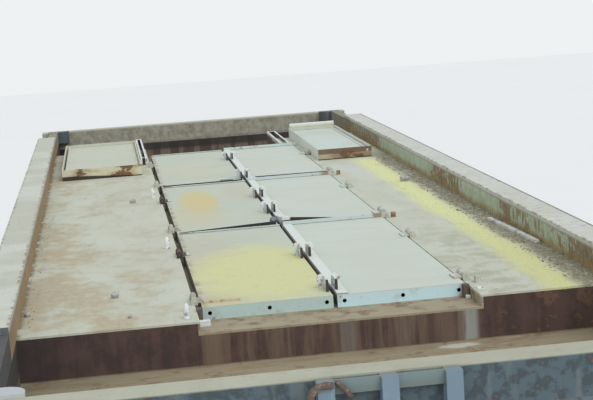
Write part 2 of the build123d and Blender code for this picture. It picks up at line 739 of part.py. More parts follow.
# Guide bars: two bars joined by end pieces, on each side of the pit
guide_table = [
    # inner x, outer x, near y, far y, height
    (channel_left - 18, channel_left - 62, pit_near - 470, cheek_far - 90, 50),
    (pit_right, pit_right + 66, pit_near + 14, cheek_far, 22),
]
guide_bar_width = 12
guide_bars = []
for inner_x, outer_x, near_y, far_y, height in guide_table:
    guide_z = (deck_top, deck_top + height)
    outward = 1 if outer_x > inner_x else -1
    guide = block(sorted((inner_x, outer_x)), (near_y, far_y), guide_z)
    gap_x = sorted((inner_x + outward * guide_bar_width, outer_x - outward * guide_bar_width))
    guide_bars.append(guide - block(gap_x, (near_y + 2 * guide_bar_width, far_y - 2 * guide_bar_width),
                                    (guide_z[0] - 1, guide_z[1] + 1)))
save("guide_bars", guide_bars)

# Side stakes with gussets down to the solebars
stake_x = (inner_half + plate, inner_half + plate + stake_depth)
slope_angle = atan2(side_low - slope_low, inner_half - slope_half_x)


def slope_under_x(z):
    """X of the side slope's underside at this height."""
    return slope_half_x + (z - slope_low) * side_slope_run + plate / sin(slope_angle)


stake_spacing = 625
gusset_width = 12
gusset_top = side_low - 12
gusset_inner_z = 1500
stakes = []
gussets = []
for step in range(-6, 7):
    y = step * stake_spacing
    foot = max(side_low, end_slope_z(abs(y) + stake_width / 2))
    stakes.append(block(stake_x, span(y, stake_width), (foot, side_top)))
    if abs(y) < end_slope_y(side_low) - stake_width:
        outline = [(slope_under_x(gusset_top), gusset_top), (stake_x[1], gusset_top),
                   (stake_x[1], side_low - 120), (solebar_outer, solebar_top), (solebar_x, solebar_top),
                   (slope_under_x(gusset_inner_z), gusset_inner_z)]
        gussets.append(profile_y(outline, span(y, gusset_width)))
save("side_stakes", both_sides(stakes))
save("side_gussets", both_sides(gussets))

# End posts between the headstocks and the end rims
post_width = 80
post_y = (end_rim_y + plate, end_rim_y + plate + 90)
post_places = [430, inner_half - 60]
posts = [block(span(x, post_width), post_y, (solebar_top, end_rim_low)) for x in post_places]

# Props under the end slopes, with tops cut to the slope
prop_y = (3170, 3250)
prop_x = span(solebar_x + 45, 70)
slope_drop_z = plate * hypot(1, end_slope_rise)
prop = profile_x([(prop_y[0], solebar_top), (prop_y[1], solebar_top),
                  (prop_y[1], end_slope_z(prop_y[1]) - slope_drop_z),
                  (prop_y[0], end_slope_z(prop_y[0]) - slope_drop_z)], prop_x)
save("body_posts", both_ends(both_sides(posts + [prop])))

# End ladders: three stiles with rungs, in front of the end rims
stile_places = [-170, 18, 207]
stile_width = 50
stile_depth = 50
rung_radius = 10
rung_pitch = 300
ladder_y = (end_rim_outer, end_rim_outer + stile_depth)
ladder_top = rim_top - 45
ladder = None
for x in stile_places:
    stile = block(span(x, stile_width), ladder_y, (solebar_top, ladder_top))
    ladder = stile if ladder is None else ladder + stile
rung_count = int((ladder_top - solebar_top) / rung_pitch)
for rung in range(1, rung_count):
    z = solebar_top + rung * rung_pitch
    ladder = ladder + rod_x((stile_places[0], stile_places[2]), sum(ladder_y) / 2, z, rung_radius)
ladder = ladder + block((stile_places[0], stile_places[2]), (ladder_y[0] + 18, ladder_y[0] + 30),
                        (ladder_top - 42, ladder_top))
save("end_ladders", both_ends([ladder]))

# Buffers: tapered housings on base plates, and round heads on shanks
buffer_x = 875
shank_radius = 70
housing_length = 300
housing_radius = (112, 92)
buffer_plate = 16
buffer_plate_size = (320, 240)
head_radius = 228
head_thickness = 34
head_bulge = 16
head_face = headstock_face + 520
housing = block(span(buffer_x, buffer_plate_size[0]), (headstock_face, headstock_face + buffer_plate),
                span(buffer_height, buffer_plate_size[1]))
cone = Rot(-90, 0, 0) * Cone(housing_radius[0], housing_radius[1], housing_length)
housing = housing + Pos(buffer_x, headstock_face + buffer_plate + housing_length / 2, buffer_height) * cone
housing = housing - rod_y(buffer_x, (headstock_face + 40, headstock_face + housing_length + 60), buffer_height,
                          shank_radius + pin_clearance)
save("buffer_housings", both_ends(both_sides([housing])))
head_y = head_face - head_bulge - head_thickness
bulge_radius = (head_radius ** 2 + head_bulge ** 2) / (2 * head_bulge)
head = rod_y(buffer_x, (head_y, head_face), buffer_height, head_radius)
head = head & (Pos(buffer_x, head_face - bulge_radius, buffer_height) * Sphere(bulge_radius))
head = head + rod_y(buffer_x, (headstock_face + 60, head_y), buffer_height, shank_radius)
save("buffer_heads", both_ends(both_sides([head])))

# Drawgear: plate and hook at each headstock
hook_y = headstock_face + 225
hook = block(span(0, 46), (headstock_face + 20, hook_y - 40), span(buffer_height, 60))
hook = hook + rod_x((-23, 23), hook_y, buffer_height + 22, 82)
hook = hook - rod_x((-24, 24), hook_y, buffer_height + 22, 36)
hook = hook - block((-24, 24), (hook_y - 30, hook_y + 26), (buffer_height + 22, buffer_height + 140))
draw_plate = block(span(0, 220), (headstock_face, headstock_face + 20), span(buffer_height, 200))

# Coupling: a long link that hangs in the hook, with a second one in it
link_bar = 15
link_half_width = 45
link_length = 230
link_top = buffer_height + 22 - 36 + link_bar
link_low = link_top - link_length
coupling = rod_x((-link_half_width, link_half_width), hook_y, link_top, link_bar)
for x in (-link_half_width, link_half_width):
    coupling = coupling + Pos(x, hook_y, (link_top + link_low) / 2) * Cylinder(link_bar, link_length)
    coupling = coupling + Pos(x, hook_y, link_top) * Sphere(link_bar)
coupling = coupling + rod_x((-link_half_width - 25, link_half_width + 25), hook_y, link_low, link_bar + 12)
for x in (-link_half_width + 28, link_half_width - 28):
    coupling = coupling + Pos(x, hook_y, link_low - link_length / 2) * Cylinder(link_bar - 2, link_length)
coupling = coupling + rod_x((-link_half_width + 28, link_half_width - 28), hook_y, link_low - link_length, link_bar)
save("draw_hooks", both_ends([hook + draw_plate + coupling]))

# Brake gear: a shoe on each side of every wheel, on hangers
shoe_clear = 6
shoe_thickness = 50
shoe_half_angle = 18
shoe_radius = tread_radius + shoe_clear
shoe_x = (wheel_inner + flange_width + 18, wheel_outer - 12)
shoe_disc = rod_x(shoe_x, 0, 0, shoe_radius + shoe_thickness)
shoe_disc = shoe_disc - rod_x((shoe_x[0] - 1, shoe_x[1] + 1), 0, 0, shoe_radius)
wedge_reach = shoe_radius + shoe_thickness + 60
wedge_rise = wedge_reach * sin(radians(shoe_half_angle))
wedge = profile_x([(0, 0), (wedge_reach, wedge_rise), (wedge_reach, -wedge_rise)], shoe_x)
brake_shoe = shoe_disc & wedge
brake_shoes = both_ends(both_sides([brake_shoe]))
save("brake_shoes", [Pos(0, y, axle_height) * shape for name, y in axle_places for shape in brake_shoes])

# Brake hangers and beams behind the shoes
beam_radius = 26
beam_offset = shoe_radius + shoe_thickness + beam_radius
brake_beam = rod_x((-shoe_x[1], shoe_x[1]), beam_offset, 0, beam_radius)
save("brake_beams", [Pos(0, y, axle_height) * shape for name, y in axle_places for shape in both_ends([brake_beam])])
hanger_x = span(shoe_x[0] - 60, 16)
hanger = block(hanger_x, span(beam_offset, 40), (beam_radius, cross_low - axle_height))
hangers = both_ends(both_sides([hanger]))
save("brake_hangers", [Pos(0, y, axle_height) * shape for name, y in axle_places for shape in hangers])

# Brake cylinder and air reservoir, hung between the end cross members and headstocks
vessel_y = (cross_places[2] + 90, headstock_inner_y - 120)
cylinder_radius = 150
reservoir_radius = 165
vessel_z = cross_low - 30
strap_width = 24
strap_half = draw_beam_x - draw_beam_width / 2


def vessel(radius, length):
    """Round vessel with two strap plates between the draw beams."""
    shape = rod_y(0, length, vessel_z, radius)
    for y in (length[0] + 70, length[1] - 70):
        shape = shape + block((-strap_half, strap_half), span(y, strap_width), (vessel_z - 20, vessel_z + 110))
    return shape


brake_cylinder = vessel(cylinder_radius, (vessel_y[0] + 190, vessel_y[1]))
brake_cylinder = brake_cylinder + rod_y(0, (vessel_y[0], vessel_y[0] + 190), vessel_z, 40)
save("brake_cylinder", [other_end(brake_cylinder)])
save("air_reservoir", [vessel(reservoir_radius, vessel_y)])

# Hand brake levers along each side, with their guides
lever_x = (solebar_outer + 20, solebar_outer + 32)
lever_length = 1320
lever_pivot_y = 120
lever_pivot_drop = (160, 96)
lever_handle_drop = (260, 216)
lever_pivot_z = [solebar_low - drop for drop in lever_pivot_drop]
lever_handle_z = [solebar_low - drop for drop in lever_handle_drop]
lever = profile_x([(lever_pivot_y - lever_length, lever_handle_z[0]), (lever_pivot_y - lever_length, lever_handle_z[1]),
                   (lever_pivot_y, lever_pivot_z[1]), (lever_pivot_y, lever_pivot_z[0])], lever_x)
save("brake_levers", both_sides([lever]))
lever_guide_drop = (180, 60)
lever_guide_z = [solebar_low - drop for drop in lever_guide_drop]
lever_bracket = block((solebar_x + 20, lever_x[1] + 10), span(lever_pivot_y / 2, 60), (lever_guide_z[0], solebar_low))
lever_bracket = lever_bracket - block((lever_x[0] - 0.3, lever_x[1] + 0.3), (0, lever_pivot_y + 20),
                                      (lever_guide_z[0] - 1, lever_guide_z[1]))
save("lever_brackets", both_sides([lever_bracket]))

# Foot steps under the solebars near the ends
step_inset = 440
step_length = 340
step_drop = 440
step_reach = 170
step_y = span(headstock_inner_y - step_inset, step_length)
step_low = solebar_low - step_drop
step_hanger = block((solebar_outer - 12, solebar_outer), span(step_y[0] + 20, 40), (step_low, solebar_low))
step_hanger_far = block((solebar_outer - 12, solebar_outer), span(step_y[1] - 20, 40), (step_low, solebar_low))
step_tread = block((solebar_outer - 12, solebar_outer + step_reach), step_y, (step_low - 14, step_low))
foot_step = step_hanger + step_hanger_far + step_tread
save("foot_steps", both_ends(both_sides([foot_step])))
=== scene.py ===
from math import cos, pi, sin

import bmesh
import bpy
from mathutils import Matrix, Vector


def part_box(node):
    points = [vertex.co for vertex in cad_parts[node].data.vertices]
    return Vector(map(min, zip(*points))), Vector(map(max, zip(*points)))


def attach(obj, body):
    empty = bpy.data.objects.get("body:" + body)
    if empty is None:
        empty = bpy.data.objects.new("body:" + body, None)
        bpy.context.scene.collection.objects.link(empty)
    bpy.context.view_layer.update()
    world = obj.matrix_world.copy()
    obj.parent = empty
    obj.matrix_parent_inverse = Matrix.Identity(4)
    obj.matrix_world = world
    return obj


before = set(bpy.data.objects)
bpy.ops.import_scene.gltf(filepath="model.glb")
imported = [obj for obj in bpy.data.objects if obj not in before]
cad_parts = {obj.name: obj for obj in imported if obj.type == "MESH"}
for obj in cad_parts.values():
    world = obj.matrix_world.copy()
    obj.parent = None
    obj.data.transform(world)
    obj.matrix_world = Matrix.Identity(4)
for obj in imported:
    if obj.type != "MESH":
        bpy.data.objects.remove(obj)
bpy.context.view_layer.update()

scene = bpy.context.scene
scene.view_settings.view_transform = "Standard"

# Camera and daylight: the wagon is seen from a bridge beyond its front end, a little left of the
# middle, under a bright, even sky. The lens and the three angles fit the rims and deck edges.
lens_pixels = 1469.0
picture_width = 593
camera_place = Vector((-0.7302, -8.0799, 4.7174))
camera_yaw, camera_pitch, camera_roll = 0.1263, 0.1537, 0.0655


def aim(yaw, pitch, roll):
    """Turn of a camera that looks along yaw, down by pitch, with its horizon turned by roll."""
    ahead = Vector((sin(yaw) * cos(pitch), cos(yaw) * cos(pitch), -sin(pitch)))
    level = Vector((cos(yaw), -sin(yaw), 0.0))
    down = ahead.cross(level)
    across = cos(roll) * level + sin(roll) * down
    upward = sin(roll) * level - cos(roll) * down
    return Matrix((across, upward, -ahead)).transposed().to_4x4()


def fill_tree(tree, kinds, links):
    """Nodes of these kinds with their links. A link is a row of node, output, node, input."""
    nodes = {label: tree.nodes.new(kind) for label, kind in kinds.items()}
    for start, output, end, socket in links:
        tree.links.new(nodes[start].outputs[output], nodes[end].inputs[socket])
    return nodes


lens = bpy.data.cameras.new("bridge_camera")
lens.sensor_width = 36.0
lens.lens = lens_pixels / picture_width * lens.sensor_width
lens.clip_end = 300.0
camera = bpy.data.objects.new("bridge_camera", lens)
camera.matrix_world = Matrix.Translation(camera_place) @ aim(camera_yaw, camera_pitch, camera_roll)
scene.collection.objects.link(camera)
scene.camera = camera

sky_colour = (0.93, 0.97, 1.0)
sky_strength = 0.66
backdrop_colour = (0.86, 0.88, 0.89)
lamp_table = [
    # name, strength, angular size, turn about x, y, z
    ("overcast_sun", 1.65, 0.9, 0.80, 0.22, 0.25),
    ("side_fill", 0.35, 1.2, 1.05, -0.55, -0.6),
]
world = bpy.data.worlds.new("overcast")
scene.world = world
world.use_nodes = True
sky = world.node_tree
sky.nodes.clear()
sky_nodes = fill_tree(
    sky,
    {"out": "ShaderNodeOutputWorld", "light": "ShaderNodeBackground", "seen": "ShaderNodeBackground",
     "ray": "ShaderNodeLightPath", "either": "ShaderNodeMath", "mix": "ShaderNodeMixShader"},
    [("ray", "Is Camera Ray", "either", 0), ("ray", "Is Glossy Ray", "either", 1), ("either", 0, "mix", 0),
     ("light", 0, "mix", 1), ("seen", 0, "mix", 2), ("mix", 0, "out", "Surface")])
sky_nodes["either"].operation = "MAXIMUM"
for label, colour, strength in (("light", sky_colour, sky_strength), ("seen", backdrop_colour, 1.0)):
    sky_nodes[label].inputs["Color"].default_value = (*colour, 1.0)
    sky_nodes[label].inputs["Strength"].default_value = strength
for name, strength, spread, turn_x, turn_y, turn_z in lamp_table:
    lamp = bpy.data.lights.new(name, "SUN")
    lamp.energy = strength
    lamp.angle = spread
    lamp_object = bpy.data.objects.new(name, lamp)
    lamp_object.rotation_euler = (turn_x, turn_y, turn_z)
    scene.collection.objects.link(lamp_object)


# Wheelsets: forged axles with two flanged wheels each. Bare steel, rolled bright on the treads and
# flanges, brown with rust and brake dust on the webs, and black with grease at the journals.
class Level:
    """A number that changes over a surface. Sums written with it become Math nodes."""

    def __init__(self, finish, socket):
        self.finish = finish
        self.socket = socket

    def sum(self, operation, first, second):
        return self.finish.add("ShaderNodeMath", {"operation": operation}, {0: first, 1: second})

    def __add__(self, other):
        return self.sum("ADD", self, other)

    def __radd__(self, other):
        return self.sum("ADD", other, self)

    def __sub__(self, other):
        return self.sum("SUBTRACT", self, other)

    def __rsub__(self, other):
        return self.sum("SUBTRACT", other, self)

    def __mul__(self, other):
        return self.sum("MULTIPLY", self, other)

    def __rmul__(self, other):
        return self.sum("MULTIPLY", other, self)

    def __truediv__(self, other):
        return self.sum("DIVIDE", self, other)

    def most(self, other):
        return self.sum("MAXIMUM", self, other)

    def size(self):
        return self.finish.add("ShaderNodeMath", {"operation": "ABSOLUTE"}, {0: self})

    def rise(self, low, high):
        """Zero below low, one above high, smooth between; falls where low is over high."""
        return self.finish.add("ShaderNodeMapRange", {"interpolation_type": "SMOOTHSTEP"},
                               {0: self, 1: low, 2: high, 3: 0.0, 4: 1.0})

    def within(self, low, high, soft):
        return self.rise(low - soft, low + soft) * self.rise(high + soft, high - soft)


class Finish:
    """One paint or metal, built up in layers from the ground coat to the dirt."""

    def __init__(self, name, colour, rough, metal=0.0):
        self.material = bpy.data.materials.new(name)
        self.material.use_nodes = True
        self.tree = self.material.node_tree
        self.tree.nodes.clear()
        self.out = self.tree.nodes.new("ShaderNodeOutputMaterial")
        self.shader = self.tree.nodes.new("ShaderNodeBsdfPrincipled")
        self.tree.links.new(self.shader.outputs[0], self.out.inputs["Surface"])
        self.colour = colour
        self.rough = rough
        self.metal = metal
        self.relief = None
        self.place = self.add("ShaderNodeTexCoord", {}, {}, "Object")
        self.facing = self.add("ShaderNodeTexCoord", {}, {}, "Normal")
        self.x, self.y, self.z = (self.part(self.place, axis) for axis in "XYZ")
        self.up = self.part(self.facing, "Z")

    def add(self, kind, settings, inputs, output=0):
        """Any node: its settings first, then the values or links of its sockets."""
        node = self.tree.nodes.new(kind)
        for key, value in settings.items():
            setattr(node, key, value)
        for key, value in inputs.items():
            if isinstance(value, Level):
                self.tree.links.new(value.socket, node.inputs[key])
            else:
                node.inputs[key].default_value = value
        return Level(self, node.outputs[output])

    def part(self, vector, axis):
        return self.add("ShaderNodeSeparateXYZ", {}, {0: vector}, axis)

    def clouds(self, size, detail=4.0, broken=0.55, stretch=(1.0, 1.0, 1.0), start=0.0):
        """Noise whose patches are about size metres wide, longer along an axis with a stretch over 1."""
        spread = self.add("ShaderNodeMapping", {}, {
            "Vector": self.place, "Location": (start, start * 1.7, start * 0.6),
            "Scale": tuple(1.0 / (size * along) for along in stretch)})
        return self.add("ShaderNodeTexNoise", {}, {
            "Vector": spread, "Scale": 1.0, "Detail": detail, "Roughness": broken})

    def blend(self, share, first, second):
        """The first colour where share is zero, the second where it is one."""
        first, second = (tint if isinstance(tint, Level) else (*tint, 1.0) for tint in (first, second))
        return self.add("ShaderNodeMix", {"data_type": "RGBA"}, {0: share, 6: first, 7: second}, 2)

    def over(self, share, colour, rough=None, metal=None):
        """A layer of this colour where share is near one."""
        self.colour = self.blend(share, self.colour, colour)
        if rough is not None:
            self.rough = share * (rough - self.rough) + self.rough
        if metal is not None:
            self.metal = share * (metal - self.metal) + self.metal

    def raise_by(self, level, height):
        step = level * height
        self.relief = step if self.relief is None else self.relief + step

    def done(self):
        sockets = self.shader.inputs
        for key, value in (("Base Color", self.colour), ("Roughness", self.rough), ("Metallic", self.metal)):
            if isinstance(value, Level):
                self.tree.links.new(value.socket, sockets[key])
            else:
                sockets[key].default_value = (*value, 1.0) if key == "Base Color" else value
        if self.relief is not None:
            bump = self.add("ShaderNodeBump", {}, {"Height": self.relief, "Distance": 1.0, "Strength": 1.0})
            self.tree.links.new(bump.socket, sockets["Normal"])
        return self.material


def dress(names, material):
    """Gives CAD nodes this material; their meshes stay as they are."""
    for name in names:
        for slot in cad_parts[name].material_slots:
            slot.material = material


rust_dark = (0.085, 0.042, 0.026)
rust_brown = (0.17, 0.085, 0.045)
rust_orange = (0.33, 0.155, 0.06)
road_dust = (0.26, 0.215, 0.165)
grease_black = (0.018, 0.017, 0.016)
axle_height = 0.498
axle_ys = (-2.44, 2.44)
tread_radius = 0.470


def wheel_steel(name, axle_y):
    steel = Finish(name, (0.13, 0.085, 0.06), 0.75, 0.25)
    broad, fine = steel.clouds(0.16, start=axle_y), steel.clouds(0.012, 5.0, 0.7)
    steel.over(broad.rise(0.42, 0.62), rust_brown, 0.85, 0.0)
    steel.over(fine.rise(0.55, 0.75) * 0.6, rust_dark, 0.9)
    along, height = steel.y - axle_y, steel.z - axle_height
    reach = along * along + height * height
    tread = reach.within((tread_radius - 0.012) ** 2, (tread_radius + 0.006) ** 2, 0.004)
    bright = tread * steel.x.size().rise(0.7, 0.72)
    steel.over(bright * 0.9, (0.46, 0.45, 0.43), 0.28, 0.95)
    flange = reach.rise((tread_radius + 0.014) ** 2, (tread_radius + 0.024) ** 2)
    steel.over(flange * 0.55, (0.33, 0.31, 0.29), 0.42, 0.7)
    hub = reach.rise(0.15 ** 2, 0.1 ** 2)
    steel.over(hub * broad.rise(0.35, 0.6) * 0.8, grease_black, 0.4, 0.0)
    steel.raise_by(fine, 0.0006)
    steel.raise_by(broad, 0.0008)
    return steel.done()


for end, axle_y in zip(("front", "rear"), axle_ys):
    dress([end + "_wheels", end + "_axle"], wheel_steel(end + "_wheel_steel", axle_y))

# Underframe: rolled channels and plates, riveted and welded. Old black paint, flat and chalky, with
# brown dust on every ledge, brake dust near the wheels and rust where the paint has blistered.
def weathered(name, paint, rough, rusted, dusted, runs=0.0, patch_size=0.3):
    """Paint with blistered rust, upright rust runs and dust on what faces up. Shares are 0 to 1."""
    coat = Finish(name, paint, rough)
    broad = coat.clouds(patch_size * 2.4, 3.0)
    middle = coat.clouds(patch_size * 0.35, 6.0, 0.62, start=3.1)
    fine = coat.clouds(0.010, 4.0, 0.7, start=7.7)
    coat.over(broad.rise(0.4, 0.62) * 0.5, tuple(part * 0.72 for part in paint))
    coat.over(middle.rise(0.56, 0.7) * 0.35, tuple(part * 1.3 + 0.02 for part in paint))
    patch = broad * 0.45 + middle * 0.55
    edge = 0.66 - 0.16 * rusted
    blister = patch.rise(edge, edge + 0.035)
    coat.over(patch.rise(edge - 0.05, edge) * 0.45, rust_orange)
    coat.over(blister, coat.blend(fine.rise(0.4, 0.62), rust_dark, rust_brown), 0.92)
    if runs:
        streak = coat.clouds(0.045, 4.0, 0.6, (1.0, 1.0, 16.0), start=1.3)
        upright = coat.up.size().rise(0.6, 0.3)
        coat.over(streak.rise(0.52, 0.72) * upright * runs, rust_brown, 0.9)
        pale = coat.clouds(0.07, 3.0, 0.5, (1.0, 1.0, 12.0), start=9.4)
        coat.over(pale.rise(0.56, 0.74) * upright * (runs * 0.6), (0.36, 0.34, 0.29), 0.9)
    settled = coat.up.rise(0.35, 0.85) * middle.rise(0.32, 0.58)
    coat.over(settled * dusted, road_dust, 0.95)
    coat.raise_by(fine, 0.0004)
    coat.raise_by(blister, 0.0009)
    return coat


frame_paint = (0.042, 0.043, 0.045)
black = weathered("frame_black", frame_paint, 0.62, 0.45, 0.75, 0.25)
brake_dust = (black.y.size() - axle_ys[1]).size().rise(1.1, 0.35) * black.z.rise(1.05, 0.5)
black.over(brake_dust * black.clouds(0.05, 5.0).rise(0.35, 0.6) * 0.8, (0.15, 0.085, 0.05), 0.95)
frame_black = black.done()
dress(["solebars", "headstocks", "cross_members", "draw_beams", "axle_guards", "foot_steps", "lever_brackets",
       "spring_shoes"], frame_black)
rivet_black = weathered("rivet_black", (0.05, 0.048, 0.046), 0.6, 0.75, 0.6, patch_size=0.04).done()


def copies_tree(name, inputs, kinds, links):
    """Geometry tree that puts copies on points, makes them one mesh and paints it."""
    tree = bpy.data.node_groups.new(name, "GeometryNodeTree")
    sockets = {}
    for label, kind in inputs.items():
        sockets[label] = tree.interface.new_socket(
            label, in_out="INPUT", socket_type="NodeSocket" + kind).identifier
    tree.interface.new_socket("Geometry", in_out="OUTPUT", socket_type="NodeSocketGeometry")
    nodes = fill_tree(
        tree,
        {**kinds, "given": "NodeGroupInput", "copies": "GeometryNodeInstanceOnPoints",
         "whole": "GeometryNodeRealizeInstances", "painted": "GeometryNodeSetMaterial",
         "result": "NodeGroupOutput"},
        links + [("copies", "Instances", "whole", "Geometry"), ("whole", "Geometry", "painted", "Geometry"),
                 ("given", "Finish", "painted", "Material"), ("painted", "Geometry", "result", "Geometry")])
    return tree, sockets, nodes


def grown(name, tree, sockets, values):
    """Mesh that a geometry tree makes with these inputs."""
    seed_mesh = bpy.data.meshes.new(name + "_seed")
    seed = bpy.data.objects.new(name + "_seed", seed_mesh)
    scene.collection.objects.link(seed)
    grow = seed.modifiers.new("grow", "NODES")
    grow.node_group = tree
    for label, value in values.items():
        grow[sockets[label]] = value
    made = bpy.data.meshes.new_from_object(seed.evaluated_get(bpy.context.evaluated_depsgraph_get()))
    seed.modifiers.clear()
    bpy.data.objects.remove(seed)
    return made


def piece_from(name, meshes, body, finish, smooth=False):
    """One object from several meshes, riding on a body."""
    joined = bmesh.new()
    for mesh in meshes:
        joined.from_mesh(mesh)
    whole = bpy.data.meshes.new(name)
    joined.to_mesh(whole)
    joined.free()
    whole.materials.clear()
    whole.materials.append(finish)
    for face in whole.polygons:
        face.material_index = 0
        face.use_smooth = smooth
    piece = bpy.data.objects.new(name, whole)
    scene.collection.objects.link(piece)
    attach(piece, body)
    return piece


heads, head_sockets, head_nodes = copies_tree(
    "row_of_heads",
    {"Start": "Vector", "Step": "Vector", "Count": "Int", "Radius": "Float", "Height": "Float", "Sides": "Int",
     "Turn": "Vector", "Finish": "Material"},
    {"row": "GeometryNodeMeshLine", "head": "GeometryNodeMeshCone", "turned": "GeometryNodeTransform",
     "narrow": "ShaderNodeMath"},
    [("given", "Start", "row", "Start Location"), ("given", "Step", "row", "Offset"),
     ("given", "Count", "row", "Count"), ("given", "Sides", "head", "Vertices"),
     ("given", "Radius", "head", "Radius Bottom"), ("given", "Radius", "narrow", 0),
     ("narrow", 0, "head", "Radius Top"), ("given", "Height", "head", "Depth"),
     ("head", "Mesh", "turned", "Geometry"), ("given", "Turn", "turned", "Rotation"),
     ("row", "Mesh", "copies", "Points"), ("turned", "Geometry", "copies", "Instance")])
head_nodes["row"].mode = "OFFSET"
head_nodes["narrow"].operation = "MULTIPLY"
head_nodes["narrow"].inputs[1].default_value = 0.72
face_turns = {"+x": (0, pi / 2, 0), "-x": (0, -pi / 2, 0), "+y": (-pi / 2, 0, 0), "-y": (pi / 2, 0, 0),
              "+z": (0, 0, 0), "-z": (pi, 0, 0)}


def head_rows(name, body, finish, rows, radius, height, sides):
    """Heads in rows of (start, step, count, way it faces), joined to one piece."""
    meshes = []
    for start, step, count, way in rows:
        meshes.append(grown(name, heads, head_sockets, {
            "Start": start, "Step": step, "Count": count, "Radius": radius, "Height": height, "Sides": sides,
            "Turn": face_turns[way], "Finish": finish}))
    return piece_from(name, meshes, body, finish)


solebar_face = 0.942
buffer_x, buffer_z = 0.875, 1.085
rows = []
for side, way in ((-1, "-x"), (1, "+x")):
    for step in range(-5, 6):
        y = step * 0.65
        rows.append(((side * solebar_face, y - 0.05, 1.03), (0, 0, 0.055), 3, way))
        rows.append(((side * solebar_face, y + 0.05, 1.03), (0, 0, 0.055), 3, way))
    for axle_y in axle_ys:
        rows.append(((side * solebar_face, axle_y - 0.44, 1.0), (0.0, 0.11, 0.0), 9, way))
head_rows("solebar_rivets", "wagon_body", rivet_black, rows, 0.013, 0.009, 8)
headstock_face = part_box("headstocks")[1][1]
rows = []
for end, way in ((-1, "-y"), (1, "+y")):
    face = end * headstock_face
    for x in (-1.13, -0.62, 0.62, 1.13):
        rows.append(((x, face, 1.0), (0.0, 0.0, 0.057), 4, way))
    rows.append(((-0.16, face, 0.99), (0.08, 0.0, 0.0), 5, way))
    for x in (-buffer_x, buffer_x):
        plate_face = end * (headstock_face + 0.016)
        for dx in (-0.135, 0.135):
            rows.append(((x + dx, plate_face, 0.995), (0.0, 0.0, 0.18), 2, way))
    plate_face = end * (headstock_face + 0.020)
    for dx in (-0.085, 0.085):
        rows.append(((dx, plate_face, 1.01), (0.0, 0.0, 0.15), 2, way))
head_rows("headstock_bolts", "wagon_body", rivet_black, rows, 0.015, 0.014, 6)

# Axleboxes and springs: cast boxes that leak oil from their lids, and leaf springs in a forged buckle
# that sits on each box. Black oil below, brown rust between the leaves.
oily = weathered("axlebox_iron", (0.035, 0.033, 0.031), 0.5, 0.3, 0.9, patch_size=0.12)
wet = oily.z.rise(0.56, 0.44) * oily.clouds(0.06, 4.0).rise(0.36, 0.55)
oily.over(wet * 0.85, grease_black, 0.25)
dress(["axleboxes"], oily.done())
leaf = Finish("spring_steel", (0.12, 0.068, 0.042), 0.8)
leaf.over(leaf.clouds(0.05, 5.0, 0.65).rise(0.45, 0.6), rust_dark, 0.9)
leaf.over(leaf.clouds(0.11, 3.0, start=2.0).rise(0.5, 0.66) * 0.5, rust_orange, 0.9)
leaf.over(leaf.up.rise(0.4, 0.9) * 0.5, road_dust, 0.95)
leaf.raise_by(leaf.clouds(0.008, 4.0, 0.7), 0.0006)
dress(["leaf_springs"], leaf.done())
rows = []
for axle_y in axle_ys:
    for side, way in ((-1, "-x"), (1, "+x")):
        cover_face = side * 1.104
        for dy in (-0.055, 0.055):
            rows.append(((cover_face, axle_y + dy, axle_height - 0.055), (0, 0, 0.11), 2, way))
head_rows("axlebox_lid_bolts", "wagon_body", rivet_black, rows, 0.012, 0.012, 6)

# Buffers and drawgear: cast housings bolted to the headstocks, forged heads greased on their faces,
# and a forged hook with a hanging coupling, brown with rust and rubbed bright inside the hook.
housing = weathered("buffer_housing_paint", frame_paint, 0.6, 0.5, 0.8, 0.2, 0.16).done()
dress(["buffer_housings"], housing)
head_steel = weathered("buffer_head_steel", (0.06, 0.052, 0.046), 0.5, 0.6, 0.5, patch_size=0.14)
rub_x, rub_z = head_steel.x.size() - buffer_x, head_steel.z - buffer_z
rub = (rub_x * rub_x + rub_z * rub_z).rise(0.02, 0.008)
buffer_face = headstock_face + 0.52
face_on = head_steel.y.size().rise(buffer_face - 0.04, buffer_face - 0.015)
head_steel.over(rub * face_on * 0.85, grease_black, 0.3)
scuffed = head_steel.clouds(0.04, 4.0).rise(0.5, 0.6)
head_steel.over(rub * face_on * scuffed * 0.6, (0.33, 0.31, 0.28), 0.35, 0.7)
dress(["buffer_heads"], head_steel.done())
forged = weathered("coupling_steel", (0.10, 0.062, 0.04), 0.7, 0.9, 0.4, patch_size=0.07)
rubbed = forged.z.within(1.06, 1.1, 0.008) * forged.y.size().rise(headstock_face + 0.17, headstock_face + 0.2)
forged.over(rubbed * 0.7, (0.36, 0.34, 0.31), 0.35, 0.8)
dress(["draw_hooks"], forged.done())

# Brake gear: cast shoes, forged hangers, beams and long hand levers, all furred with brown brake dust,
# with the air cylinder and reservoir in black paint under the ends.
gear = weathered("brake_gear_steel", (0.085, 0.06, 0.045), 0.8, 0.8, 0.9, patch_size=0.1)
gear.over(gear.clouds(0.03, 5.0, 0.7).rise(0.45, 0.6) * 0.6, (0.19, 0.115, 0.07), 0.95)
gear_steel = gear.done()
dress(["brake_beams", "brake_hangers", "brake_shoes"], gear_steel)
lever = weathered("hand_lever_paint", (0.07, 0.065, 0.06), 0.6, 0.7, 0.8, patch_size=0.2)
lever.over(lever.y.rise(-0.95, -1.1) * 0.85, (0.52, 0.53, 0.5), 0.6)
dress(["brake_levers"], lever.done())
vessel = weathered("vessel_paint", (0.05, 0.05, 0.052), 0.5, 0.35, 0.9, 0.2, 0.3).done()
dress(["brake_cylinder", "air_reservoir"], vessel)

